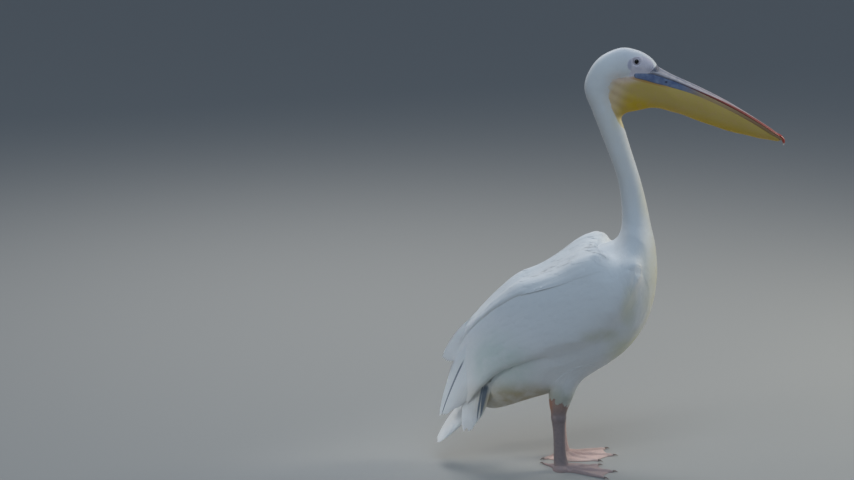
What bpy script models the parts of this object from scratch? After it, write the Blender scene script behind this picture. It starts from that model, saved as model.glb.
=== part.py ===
"""Great white pelican, standing, life size, as a still display model.

Metres, +Z up.  The bird faces +X; its left side is +Y.  The origin is the middle of the
model's footprint box, on the floor.  Head, neck and trunk are one loft that is parted by
thin gaps; wings, thighs, tail and bill are lofts fitted against it with the same gap.
"""
import math

import bmesh
import bpy
import numpy as np

# ---------------------------------------------------------------- driving dimensions
GAP = 0.0003               # clearance left between neighbouring solids
CENTRE_X = 0.0075          # shifts the anatomy so that the box is centred on the origin
EYE_RADIUS = 0.0078
EYE_AT = (0.0575, 0.0243, 1.0765)      # centre of the eyeball, left side
LEG_Y = {"L": 0.066, "R": 0.056}       # from the middle plane to the centre of each leg
SIDES = {"L": 1.0, "R": -1.0}

# Body sections from the rear end to the bill root.
# name: (dorsal x, dorsal z, ventral x, ventral z, half width, squareness: 2 is an ellipse)
BODY = {
    "rear end": (-0.382, 0.228, -0.352, 0.164, 0.028, 2.0),
    "rump": (-0.350, 0.322, -0.294, 0.150, 0.060, 2.1),
    "hip": (-0.280, 0.415, -0.205, 0.180, 0.096, 2.2),
    "loin": (-0.198, 0.484, -0.110, 0.216, 0.119, 2.35),
    "back": (-0.118, 0.540, -0.022, 0.270, 0.128, 2.45),
    "shoulder": (-0.052, 0.583, 0.054, 0.331, 0.124, 2.45),
    "chest": (-0.008, 0.598, 0.104, 0.413, 0.113, 2.35),
    "crop": (0.014, 0.610, 0.1225, 0.508, 0.099, 2.2),
    "neck root": (0.0265, 0.633, 0.1175, 0.592, 0.075, 2.05),
    "low neck": (0.0300, 0.668, 0.1030, 0.656, 0.0460, 2.0),
    "neck bend": (0.0265, 0.716, 0.0880, 0.722, 0.0310, 2.0),
    "mid neck": (0.0165, 0.770, 0.0690, 0.788, 0.0275, 2.0),
    "neck rise": (-0.0030, 0.826, 0.0490, 0.847, 0.0265, 2.0),
    "throat": (-0.0265, 0.884, 0.0300, 0.906, 0.0270, 2.0),
    "high neck": (-0.0520, 0.948, 0.0070, 0.957, 0.0280, 2.0),
    "nape": (-0.0715, 1.001, -0.0010, 0.992, 0.0300, 2.0),
    "hind head": (-0.0640, 1.043, 0.0090, 1.015, 0.0320, 2.05),
    "temple": (-0.0350, 1.084, 0.0270, 1.029, 0.0335, 2.1),
    "crown": (0.0150, 1.108, 0.0470, 1.034, 0.0330, 2.15),
    "brow": (0.0580, 1.103, 0.0680, 1.036, 0.0300, 2.2),
    "lore": (0.0900, 1.086, 0.0880, 1.036, 0.0250, 2.2),
    "bill root": (0.1080, 1.065, 0.1050, 1.034, 0.0205, 2.2),
}
# First and last section of each piece that the body is parted into.
PARTED = {
    "trunk": ("rear end", "neck root"),
    "neck_lower": ("neck root", "mid neck"),
    "neck_middle": ("mid neck", "throat"),
    "neck_upper": ("throat", "nape"),
    "head": ("nape", "bill root"),
}

# Folded wing from the wrist to the rear: upper ridge (x, y, z), lower edge (x, y, z), half thickness.
WING = (
    (0.073, 0.092, 0.578, 0.080, 0.096, 0.562, 0.009),
    (0.056, 0.090, 0.591, 0.077, 0.110, 0.524, 0.023),
    (0.008, 0.085, 0.592, 0.048, 0.119, 0.462, 0.034),
    (-0.036, 0.079, 0.613, 0.002, 0.121, 0.402, 0.039),
    (-0.102, 0.070, 0.577, -0.062, 0.121, 0.362, 0.040),
    (-0.176, 0.060, 0.529, -0.134, 0.116, 0.334, 0.037),
    (-0.252, 0.047, 0.489, -0.212, 0.104, 0.306, 0.032),
    (-0.314, 0.036, 0.427, -0.280, 0.088, 0.272, 0.026),
    (-0.359, 0.028, 0.378, -0.324, 0.074, 0.228, 0.019),
    (-0.386, 0.025, 0.326, -0.347, 0.066, 0.198, 0.010),
)
# Quill groups that reach past the wing, from root to tip, in the same columns.
TERTIALS = (
    (-0.352, 0.030, 0.385, -0.364, 0.042, 0.305, 0.009),
    (-0.390, 0.024, 0.345, -0.388, 0.036, 0.296, 0.007),
    (-0.414, 0.021, 0.314, -0.409, 0.029, 0.288, 0.005),
    (-0.432, 0.019, 0.285, -0.428, 0.021, 0.279, 0.0015),
)
SECONDARIES = (
    (-0.370, 0.056, 0.315, -0.322, 0.072, 0.212, 0.009),
    (-0.392, 0.058, 0.278, -0.350, 0.069, 0.200, 0.008),
    (-0.414, 0.060, 0.228, -0.384, 0.067, 0.182, 0.006),
    (-0.431, 0.061, 0.182, -0.410, 0.064, 0.162, 0.004),
    (-0.4345, 0.062, 0.148, -0.428, 0.063, 0.144, 0.0015),
)
PRIMARIES = (
    (-0.346, 0.050, 0.270, -0.290, 0.064, 0.270, 0.009),
    (-0.366, 0.051, 0.215, -0.304, 0.060, 0.228, 0.007),
    (-0.377, 0.052, 0.155, -0.320, 0.056, 0.178, 0.005),
    (-0.378, 0.053, 0.119, -0.338, 0.055, 0.132, 0.004),
    (-0.371, 0.053, 0.097, -0.356, 0.054, 0.098, 0.002),
)
QUILL_GROUPS = {"tertials": TERTIALS, "secondaries": SECONDARIES, "primaries": PRIMARIES}

# Tail fan from root to tip: centre x, centre z, half width, half thickness.
TAIL = (
    (-0.330, 0.200, 0.030, 0.016),
    (-0.360, 0.166, 0.040, 0.010),
    (-0.392, 0.127, 0.050, 0.006),
    (-0.420, 0.094, 0.050, 0.004),
    (-0.440, 0.070, 0.034, 0.003),
    (-0.449, 0.058, 0.010, 0.002),
)

# Legs from the top down: centre x, centre z, fore-and-aft half width, sideways half width.
THIGH = (
    (-0.060, 0.335, 0.052, 0.040),
    (-0.082, 0.290, 0.054, 0.044),
    (-0.102, 0.245, 0.045, 0.037),
    (-0.114, 0.210, 0.034, 0.029),
    (-0.121, 0.180, 0.0255, 0.0215),
    (-0.124, 0.158, 0.0205, 0.0155),
)
SHANK = (
    (-0.1240, 0.1577, 0.0190, 0.0140),
    (-0.1240, 0.1440, 0.0200, 0.0150),
    (-0.1238, 0.1280, 0.0172, 0.0115),
    (-0.1225, 0.1050, 0.0155, 0.0098),
    (-0.1210, 0.0700, 0.0152, 0.0094),
    (-0.1190, 0.0400, 0.0165, 0.0105),
    (-0.1165, 0.0230, 0.0185, 0.0130),
    (-0.1150, 0.0135, 0.0190, 0.0140),
)
FOOT_X = -0.115            # where the shank meets the foot
FOOT_TOP = 0.0132          # height of the foot under the shank
HEEL = 0.0225              # reach of the foot behind the shank
WEB_THICK = 0.0028
# Toes as (angle from straight ahead, towards the outside; length; ridge height at the root).
TOES = {
    "hallux": (-140.0, 0.066, 0.0080),
    "inner": (-24.0, 0.108, 0.0105),
    "middle": (2.0, 0.138, 0.0115),
    "outer": (27.0, 0.130, 0.0105),
}
CLAW_LENGTH = 0.011

# Bill stations from root to tip: x, edge z, ridge z, half width, underside z of the lower jaw.
BILL = (
    (0.1040, 1.0475, 1.0655, 0.0215, 1.0240),
    (0.1500, 1.0300, 1.0420, 0.0195, 1.0120),
    (0.2070, 1.0060, 1.0170, 0.0180, 0.9930),
    (0.2700, 0.9770, 0.9865, 0.0175, 0.9655),
    (0.3210, 0.9510, 0.9580, 0.0180, 0.9415),
    (0.3720, 0.9220, 0.9270, 0.0178, 0.9130),
    (0.4020, 0.9030, 0.9075, 0.0150, 0.8950),
    (0.4180, 0.8920, 0.8960, 0.0095, 0.8850),
)
# Throat pouch from inside the neck to the tip: top x, keel (x, z), half width at the jaw.
POUCH = (
    (-0.014, -0.006, 0.935, 0.018),
    (0.022, 0.030, 0.9435, 0.0240),
    (0.062, 0.072, 0.9525, 0.0270),
    (0.106, 0.116, 0.9555, 0.0265),
    (0.160, 0.171, 0.9415, 0.0235),
    (0.210, 0.222, 0.9230, 0.0210),
    (0.265, 0.272, 0.9070, 0.0195),
    (0.320, 0.323, 0.8940, 0.0185),
    (0.370, 0.372, 0.8830, 0.0170),
    (0.408, 0.410, 0.8775, 0.0110),
)
POUCH_IN_HEAD = ((-0.014, 1.000), (0.020, 1.034), (0.048, 1.040))   # top line behind the gape
GAPE = (0.052, 1.041, 1.030, 0.0265)      # corner of the mouth: x, edge z, underside z, half width
# Hooked nail: centre x, centre z, half height, half width, from the root to the point.
NAIL = (
    (0.4155, 0.8942, 0.0026, 0.0088),
    (0.4255, 0.8885, 0.0036, 0.0080),
    (0.4315, 0.8800, 0.0038, 0.0055),
    (0.4335, 0.8720, 0.0028, 0.0032),
    (0.4330, 0.8660, 0.0012, 0.0013),
)

# Colour (r, g, b) and roughness of each finish.
FINISHES = {
    "plumage": ((0.86, 0.86, 0.85), 0.75),
    "pouch_skin": ((0.74, 0.62, 0.16), 0.50),
    "horn_blue": ((0.32, 0.40, 0.55), 0.40),
    "horn_grey": ((0.55, 0.55, 0.58), 0.42),
    "nail_red": ((0.60, 0.10, 0.08), 0.35),
    "leg_skin": ((0.62, 0.50, 0.46), 0.60),
    "claw_horn": ((0.30, 0.24, 0.20), 0.40),
    "eye": ((0.03, 0.015, 0.01), 0.08),
}


# ---------------------------------------------------------------- curves and sections
def spline(rows, t):
    """Catmull-Rom curve through the rows, read at station numbers t."""
    rows = np.asarray(rows, float)
    last = len(rows) - 1
    slopes = np.gradient(rows, axis=0)
    i = np.clip(np.floor(t).astype(int), 0, last - 1)
    f = (t - i)[:, None]
    return (
        rows[i] * (2 * f**3 - 3 * f**2 + 1)
        + slopes[i] * (f**3 - 2 * f**2 + f)
        + rows[i + 1] * (3 * f**2 - 2 * f**3)
        + slopes[i + 1] * (f**3 - f**2)
    )


def superellipse(count, power=2.0):
    """Unit closed section as heights and side offsets, from the top round by the +side."""
    angle = np.arange(count) * 2 * math.pi / count
    up, side = np.cos(angle), np.sin(angle)
    e = 2.0 / power
    return np.sign(up) * np.abs(up) ** e, np.sign(side) * np.abs(side) ** e


def pair_rings(upper, lower, half, across, count, grow=0.0, power=2.0, egg=0.0):
    """Sections spanned between an upper and a lower curve; egg moves the widest part up."""
    middle = (upper + lower) / 2
    axis = (upper - lower) / 2
    length = np.linalg.norm(axis, axis=1, keepdims=True)
    up, side = superellipse(count, np.broadcast_to(power, half.shape)[:, None])
    tall = (length + grow) * up
    wide = (half[:, None] + grow) * side * (1 + egg * up)
    unit = axis / length
    return (
        middle[:, None, :]
        + unit[:, None, :] * tall[:, :, None]
        + across[:, None, :] * wide[:, :, None]
    )


def body_rings(first, last, steps, count, grow=0.0, inset=0.0):
    """The trunk, neck and head loft between two named sections."""
    names = list(BODY)
    t = np.linspace(names.index(first) + inset, names.index(last) - inset, steps)
    row = spline(list(BODY.values()), t)
    zero = np.zeros(len(t))
    upper = np.stack([row[:, 0], zero, row[:, 1]], 1)
    lower = np.stack([row[:, 2], zero, row[:, 3]], 1)
    across = np.tile([0.0, 1.0, 0.0], (len(t), 1))
    return pair_rings(upper, lower, row[:, 4], across, count, grow, row[:, 5], egg=0.06)


def blade_rings(table, side, steps, count, grow=0.0, power=2.3):
    """A flattened loft between an upper and a lower 3-D edge, as in a folded wing."""
    row = spline(table, np.linspace(0, len(table) - 1, steps))
    flip = np.array([1.0, side, 1.0])
    upper, lower = row[:, 0:3] * flip, row[:, 3:6] * flip
    travel = np.gradient((upper + lower) / 2, axis=0)
    across = np.cross(travel, upper - lower)
    across /= np.linalg.norm(across, axis=1, keepdims=True)
    return pair_rings(upper, lower, row[:, 6], across, count, grow, power)


def upright_rings(table, y, steps, count, grow=0.0):
    """Level oval sections down a leg."""
    row = spline(table, np.linspace(0, len(table) - 1, steps))
    up, side = superellipse(count, 2.2)
    rings = np.zeros((steps, count, 3))
    rings[:, :, 0] = row[:, 0:1] + (row[:, 2:3] + grow) * up
    rings[:, :, 1] = y + (row[:, 3:4] + grow) * side
    rings[:, :, 2] = row[:, 1:2]
    return rings


# ---------------------------------------------------------------- solids
def material(name):
    found = bpy.data.materials.get(name)
    if found:
        return found
    colour, roughness = FINISHES[name]
    made = bpy.data.materials.new(name)
    made.use_nodes = True
    shader = made.node_tree.nodes["Principled BSDF"]
    shader.inputs["Base Color"].default_value = (*colour, 1.0)
    shader.inputs["Roughness"].default_value = roughness
    shader.inputs["Metallic"].default_value = 0.0
    made.diffuse_color = (*colour, 1.0)
    return made


def finish_mesh(name, bm, finish):
    """Object of the given finish from a bmesh, shifted so that the box is centred."""
    bmesh.ops.translate(bm, verts=bm.verts, vec=(CENTRE_X, 0.0, 0.0))
    bmesh.ops.recalc_face_normals(bm, faces=bm.faces)
    mesh = bpy.data.meshes.new(name)
    bm.to_mesh(mesh)
    bm.free()
    mesh.shade_smooth()
    mesh.set_sharp_from_angle(angle=math.radians(50))
    mesh.materials.append(material(finish))
    obj = bpy.data.objects.new(name, mesh)
    bpy.context.scene.collection.objects.link(obj)
    return obj


def loft(name, rings, finish):
    """Closed solid over the rings: triangles between neighbours and a cap at each end."""
    bm = bmesh.new()
    rows = [[bm.verts.new(p) for p in ring] for ring in rings]
    for before, after in zip(rows, rows[1:]):
        for k in range(len(before)):
            n = (k + 1) % len(before)
            bm.faces.new((before[k], before[n], after[n]))
            bm.faces.new((before[k], after[n], after[k]))
    for cap in (rows[0], rows[-1]):
        centre = bm.verts.new(sum((v.co for v in cap), cap[0].co * 0) / len(cap))
        for k in range(len(cap)):
            bm.faces.new((cap[k], cap[(k + 1) % len(cap)], centre))
    return finish_mesh(name, bm, finish)


def as_cutter(obj):
    obj.name = "cutter_" + obj.name
    obj.hide_render = True
    obj.display_type = "WIRE"
    return obj


def cut(obj, *cutters):
    """Leaves obj clear of each cutter."""
    for cutter in cutters:
        boolean = obj.modifiers.new(cutter.name, "BOOLEAN")
        boolean.operation = "DIFFERENCE"
        boolean.solver = "EXACT"
        boolean.object = cutter
    return obj


def ball(name, centre, radius, finish, segments=12):
    bm = bmesh.new()
    bmesh.ops.create_uvsphere(bm, u_segments=segments, v_segments=segments // 2 + 1, radius=radius)
    bmesh.ops.translate(bm, verts=bm.verts, vec=centre)
    return finish_mesh(name, bm, finish)


# ---------------------------------------------------------------- trunk, neck and head
# Sections along and round each of the five lengths.
BODY_DETAIL = {
    "trunk": (15, 24),
    "neck_lower": (8, 20),
    "neck_middle": (6, 18),
    "neck_upper": (6, 18),
    "head": (15, 22),
}


def make_body():
    """The five parted lengths of the body; returns the cutters that clear each of them."""
    hair = 0.0035          # station share that parts neighbouring lengths by about GAP
    made, cutters = {}, {}
    for name, (first, last) in PARTED.items():
        steps, count = BODY_DETAIL[name]
        made[name] = loft(name, body_rings(first, last, steps, count, inset=hair), "plumage")
        rings = body_rings(first, last, steps, count, grow=GAP, inset=-hair)
        cutters[name] = as_cutter(loft(name, rings, "plumage"))
    for tag, side in SIDES.items():
        socket = ball(f"socket_{tag}", eye_centre(side), EYE_RADIUS + GAP, "eye")
        cut(made["head"], as_cutter(socket))
    return cutters


def eye_centre(side):
    return (EYE_AT[0], side * EYE_AT[1], EYE_AT[2])


def make_eyes():
    for tag, side in SIDES.items():
        ball(f"eye_{tag}", eye_centre(side), EYE_RADIUS, "eye")


# ---------------------------------------------------------------- wings and tail
def make_wings(body):
    """Folded wings lying on the flanks; returns a cutter for each."""
    cutters = {}
    for tag, side in SIDES.items():
        wing = loft(f"wing_{tag}", blade_rings(WING, side, 19, 16), "plumage")
        cut(wing, body["trunk"], body["neck_lower"])
        rings = blade_rings(WING, side, 19, 16, grow=GAP)
        cutters[tag] = as_cutter(loft(f"wing_{tag}", rings, "plumage"))
    return cutters


def make_quills(body, wings):
    """Quill groups of each wing; each lies clear of the one laid before it."""
    for tag, side in SIDES.items():
        clear_of = [body["trunk"], wings[tag]]
        for group, table in QUILL_GROUPS.items():
            name = f"{group}_{tag}"
            cut(loft(name, blade_rings(table, side, 6, 8), "plumage"), *clear_of)
            rings = blade_rings(table, side, 6, 8, grow=GAP)
            clear_of.append(as_cutter(loft(name, rings, "plumage")))


def make_tail(body):
    """Shallow roofed fan of quills."""
    steps, count, arch = 7, 12, 0.10
    row = spline(TAIL, np.linspace(0, len(TAIL) - 1, steps))
    travel = np.gradient(row[:, 0:2], axis=0)
    travel /= np.linalg.norm(travel, axis=1, keepdims=True)
    up, side = superellipse(count, 2.4)
    rings = np.zeros((steps, count, 3))
    lift = row[:, 3:4] * up - arch * row[:, 2:3] * side**2
    rings[:, :, 0] = row[:, 0:1] + travel[:, 1:2] * lift
    rings[:, :, 1] = row[:, 2:3] * side
    rings[:, :, 2] = row[:, 1:2] - travel[:, 0:1] * lift
    cut(loft("tail", rings, "plumage"), body["trunk"])


# ---------------------------------------------------------------- bill and pouch
def make_bill(body):
    loft("bill_nail", nail_rings(), "nail_red")
    nail = as_cutter(loft("nail", nail_rings(GAP), "nail_red"))
    cut(upper_jaw(), body["head"], nail)
    cut(lower_jaw("bill_lower"), body["head"], nail)
    jaw = as_cutter(lower_jaw("jaw", 2 * GAP))
    cut(pouch(), body["head"], body["neck_upper"], nail, jaw)


def bill_rows(steps):
    return spline(BILL, np.linspace(0, len(BILL) - 1, steps))


def upper_jaw():
    """Flat-bottomed blade with a raised ridge along its middle."""
    row = bill_rows(15)
    # section: (share of half width, share of the height from edge to ridge)
    section = ((0, 1.0), (0.28, 0.86), (0.55, 0.55), (0.85, 0.42), (1.0, 0.22), (0.97, 0.0),
               (0.5, 0.06), (0, 0.10))
    profile = list(section) + [(-y, z) for y, z in section[-2:0:-1]]
    rings = np.zeros((len(row), len(profile), 3))
    for k, (y, z) in enumerate(profile):
        rings[:, k, 0] = row[:, 0]
        rings[:, k, 1] = row[:, 3] * y
        rings[:, k, 2] = row[:, 1] + GAP + (row[:, 2] - row[:, 1]) * z
    return loft("bill_upper", rings, "horn_grey")


def jaw_rows(steps=15):
    """Stations of the lower jaw from the gape to the tip, in the columns of BILL."""
    x, edge, under, half = GAPE
    root = np.array([x, edge, edge, half, under])
    row = bill_rows(steps)
    return np.concatenate([np.linspace(root, row[0], 4)[:-1], row])


def lower_jaw(name, grow=0.0):
    """Hairpin of two thin rami that meet at the tip."""
    thick = 0.0042
    row = jaw_rows()
    row[:, 1] += grow
    row[:, 4] -= grow
    edges = []
    for side in (1.0, -1.0):
        outer = np.stack([row[:, 0], side * (row[:, 3] + grow), row[:, 1]], 1)
        inner = outer.copy()
        inner[:, 1] = side * np.maximum(row[:, 3] - thick - grow, 0.0012 - grow)
        edges.append((outer, inner, row[:, 4]))
    (outer_l, inner_l, under), (outer_r, inner_r, _) = edges
    outer = np.concatenate([outer_l, outer_r[::-1]])
    inner = np.concatenate([inner_l, inner_r[::-1]])
    low = np.concatenate([under, under[::-1]])
    # Past the tip both rami share one short bridge, so the inner line stops a little short.
    tip = len(row)
    inner[tip - 1, 0] -= thick + grow
    inner[tip, 0] -= thick + grow
    rings = np.stack([outer, inner, inner, outer], 1)
    rings[:, 0:2, 2] -= GAP
    rings[:, 2:4, 2] = low[:, None]
    return loft(name, rings, "horn_blue")


def pouch_top(x):
    """Height of the pouch's top: just under the jaw, and up inside the head behind the gape."""
    jaw = jaw_rows()
    inside = np.array(POUCH_IN_HEAD)
    knots = np.concatenate([inside[:, 0], jaw[:, 0]])
    heights = np.concatenate([inside[:, 1], jaw[:, 4] - 2 * GAP])
    return np.interp(x, knots, heights)


def pouch():
    """Skin bag hung between the rami, with a flat top and a rounded keel."""
    row = spline(POUCH, np.linspace(0, len(POUCH) - 1, 16))
    depth = np.linspace(0, 1, 7) ** 0.85
    wide = (1 - depth**2.2) ** 0.55 * (1 + 0.12 * depth)
    depth = np.concatenate([depth, depth[-2::-1]])
    wide = np.concatenate([wide, -wide[-2::-1]])
    top = np.stack([row[:, 0], 0 * row[:, 0], pouch_top(row[:, 0])], 1)
    keel = np.stack([row[:, 1], 0 * row[:, 0], row[:, 2]], 1)
    rings = top[:, None] + (keel - top)[:, None] * depth[None, :, None]
    rings[:, :, 1] = row[:, 3:4] * wide
    return loft("pouch", rings, "pouch_skin")


def nail_rings(grow=0.0):
    """Hook over the tip of the upper jaw."""
    steps, count = 8, 10
    row = spline(NAIL, np.linspace(0, len(NAIL) - 1, steps))
    travel = np.gradient(row[:, 0:2], axis=0)
    travel /= np.linalg.norm(travel, axis=1, keepdims=True)
    up, side = superellipse(count, 2.0)
    rings = np.zeros((steps, count, 3))
    rings[:, :, 0] = row[:, 0:1] - travel[:, 1:2] * (row[:, 2:3] + grow) * up
    rings[:, :, 1] = (row[:, 3:4] + grow) * side
    rings[:, :, 2] = row[:, 1:2] + travel[:, 0:1] * (row[:, 2:3] + grow) * up
    rings[0] -= grow * np.array([travel[0, 0], 0.0, travel[0, 1]])
    rings[-1] += grow * np.array([travel[-1, 0], 0.0, travel[-1, 1]])
    return rings


# ---------------------------------------------------------------- legs and feet
def make_legs(body):
    for tag, side in SIDES.items():
        y = side * LEG_Y[tag]
        cut(loft(f"thigh_{tag}", upright_rings(THIGH, y, 9, 14), "plumage"), body["trunk"])
        loft(f"shank_{tag}", upright_rings(SHANK, y, 10, 12), "leg_skin")
        make_foot(tag, side)


def foot_profile(side):
    """Angles round the foot with the reach and the ridge height at each of them."""
    toes = sorted(TOES.values())
    fans, reach, ridge = [], [], []
    for (a0, r0, h0), (a1, r1, h1) in zip(toes, toes[1:]):
        steps = 8 if a1 - a0 > 60 else 6
        f = np.arange(steps) / steps
        fans.append(a0 + (a1 - a0) * f)
        scoop = (0.34 if a1 - a0 > 60 else 0.13) * np.sin(math.pi * f) ** 0.8
        reach.append((r0 + (r1 - r0) * f) * (1 - scoop))
        near = np.minimum(f * (a1 - a0), (1 - f) * (a1 - a0))
        ridge.append(np.where(f < 0.5, h0, h1) * np.exp(-((near / 4.5) ** 2)))
    fans.append(np.array([toes[-1][0]]))
    reach.append(np.array([toes[-1][1]]))
    ridge.append(np.array([toes[-1][2]]))
    angle = side * np.radians(np.concatenate(fans))
    return angle, np.concatenate(reach), np.concatenate(ridge)


def make_foot(tag, side):
    """Flat-soled webbed foot: a fan from hallux to outer toe, closed round the heel."""
    angle, reach, ridge = foot_profile(side)
    heel = side * np.radians(np.linspace(TOES["outer"][0], 360 + TOES["hallux"][0], 8)[1:-1])
    angle = np.concatenate([angle, heel])
    reach = np.concatenate([reach, HEEL + 0 * heel])
    ridge = np.concatenate([ridge, 0 * heel])
    fore, wide = SHANK[-1][2:4]
    hub = fore * wide / np.hypot(wide * np.cos(angle), fore * np.sin(angle))
    middle = np.array([FOOT_X, side * LEG_Y[tag]])

    bm = bmesh.new()

    def ring(radius, height):
        x = middle[0] + radius * np.cos(angle)
        y = middle[1] + radius * np.sin(angle)
        return [bm.verts.new(p) for p in zip(x, y, np.broadcast_to(height, angle.shape))]

    rows = [ring(reach, 0.0)]
    for f in (1.0, 0.78, 0.52, 0.28, 0.12):
        fall = 1 - f
        height = WEB_THICK + ridge * (0.35 + 0.65 * fall) + (FOOT_TOP - WEB_THICK) * fall**6
        rows.append(ring(hub + (reach - hub) * f, np.minimum(height, FOOT_TOP)))
    rows.append(ring(hub, FOOT_TOP))
    count = len(angle)
    for before, after in zip(rows, rows[1:]):
        for k in range(count):
            n = (k + 1) % count
            bm.faces.new((before[k], before[n], after[n], after[k]))
    bm.faces.new(rows[0])
    bm.faces.new(rows[-1])
    return finish_mesh(f"foot_{tag}", bm, "leg_skin")


def make_claws():
    """Short curved cones just past each toe tip."""
    steps, count, root = 4, 6, 0.0024
    for tag, side in SIDES.items():
        for toe, (angle, length, _) in TOES.items():
            a = side * math.radians(angle)
            ahead = np.array([math.cos(a), math.sin(a), 0.0])
            across = np.array([-math.sin(a), math.cos(a), 0.0])
            start = np.array([FOOT_X, side * LEG_Y[tag], 0.0]) + ahead * (length + GAP)
            up, wide = superellipse(count)
            rings = np.zeros((steps, count, 3))
            for i, share in enumerate(np.linspace(0, 1, steps)):
                radius = root * (1 - share) ** 0.7 + 0.0003
                height = 0.0034 - 0.0024 * share**2
                centre = start + ahead * CLAW_LENGTH * share + np.array([0, 0, height])
                rings[i] = centre + np.outer(wide * radius * 0.8, across)
                rings[i, :, 2] += radius * up
            loft(f"claw_{toe}_{tag}", rings, "claw_horn")


def main():
    for obj in list(bpy.data.objects):
        bpy.data.objects.remove(obj)
    body = make_body()
    make_eyes()
    wings = make_wings(body)
    make_quills(body, wings)
    make_tail(body)
    make_bill(body)
    make_legs(body)
    make_claws()


main()
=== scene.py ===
"""Looks of the standing great white pelican: skin, plumage, bill, eyes, feet, light and camera.

Metres, +Z up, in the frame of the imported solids: the bird faces +X and its left side is +Y.
Every surface is worked out with numpy as a table of points over two parameters and handed to
Blender as whole arrays.  One skin carries trunk, neck, head, throat pouch, wings' flesh, thighs,
shanks and feet; the plumage is thin closed vanes laid over it along the lie of the coat.
"""
import math
from functools import cache, reduce

import bpy
import numpy as np
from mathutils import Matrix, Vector


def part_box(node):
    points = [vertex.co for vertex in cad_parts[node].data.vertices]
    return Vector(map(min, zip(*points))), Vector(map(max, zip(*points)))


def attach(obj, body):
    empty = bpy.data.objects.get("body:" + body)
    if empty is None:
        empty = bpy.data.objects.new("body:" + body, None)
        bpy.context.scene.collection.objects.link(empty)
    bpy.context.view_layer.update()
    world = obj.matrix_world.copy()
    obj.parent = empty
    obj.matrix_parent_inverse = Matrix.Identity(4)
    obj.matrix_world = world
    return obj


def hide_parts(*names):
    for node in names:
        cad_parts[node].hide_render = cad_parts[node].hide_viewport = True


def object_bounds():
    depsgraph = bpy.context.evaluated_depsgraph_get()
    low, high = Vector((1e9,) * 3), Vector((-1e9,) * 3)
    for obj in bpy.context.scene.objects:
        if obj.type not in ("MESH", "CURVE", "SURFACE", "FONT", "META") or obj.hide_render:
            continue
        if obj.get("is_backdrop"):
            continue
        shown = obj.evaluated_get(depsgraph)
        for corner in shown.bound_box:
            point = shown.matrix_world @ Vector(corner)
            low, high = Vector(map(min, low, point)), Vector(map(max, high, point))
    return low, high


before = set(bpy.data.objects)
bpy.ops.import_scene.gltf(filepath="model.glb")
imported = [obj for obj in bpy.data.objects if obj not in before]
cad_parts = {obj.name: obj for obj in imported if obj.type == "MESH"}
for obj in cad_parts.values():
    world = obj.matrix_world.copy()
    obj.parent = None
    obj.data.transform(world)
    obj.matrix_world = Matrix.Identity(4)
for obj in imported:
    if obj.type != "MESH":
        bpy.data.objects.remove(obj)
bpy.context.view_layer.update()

# ---------------------------------------------------------------- driving dimensions
CENTRE_X = 0.0075          # the tables below count x from this far ahead of the frame's origin
EYE_AT = (0.0575, 0.0243, 1.0780)      # centre of the left eyeball
EYE_RADIUS = (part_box("eye_L")[1].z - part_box("eye_L")[0].z) / 2
LEG_Y = {"L": 0.066, "R": 0.056}       # from the middle plane to the centre of each leg
SIDES = {"L": 1.0, "R": -1.0}
MIRROR = np.array([1, -1, 1])

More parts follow.
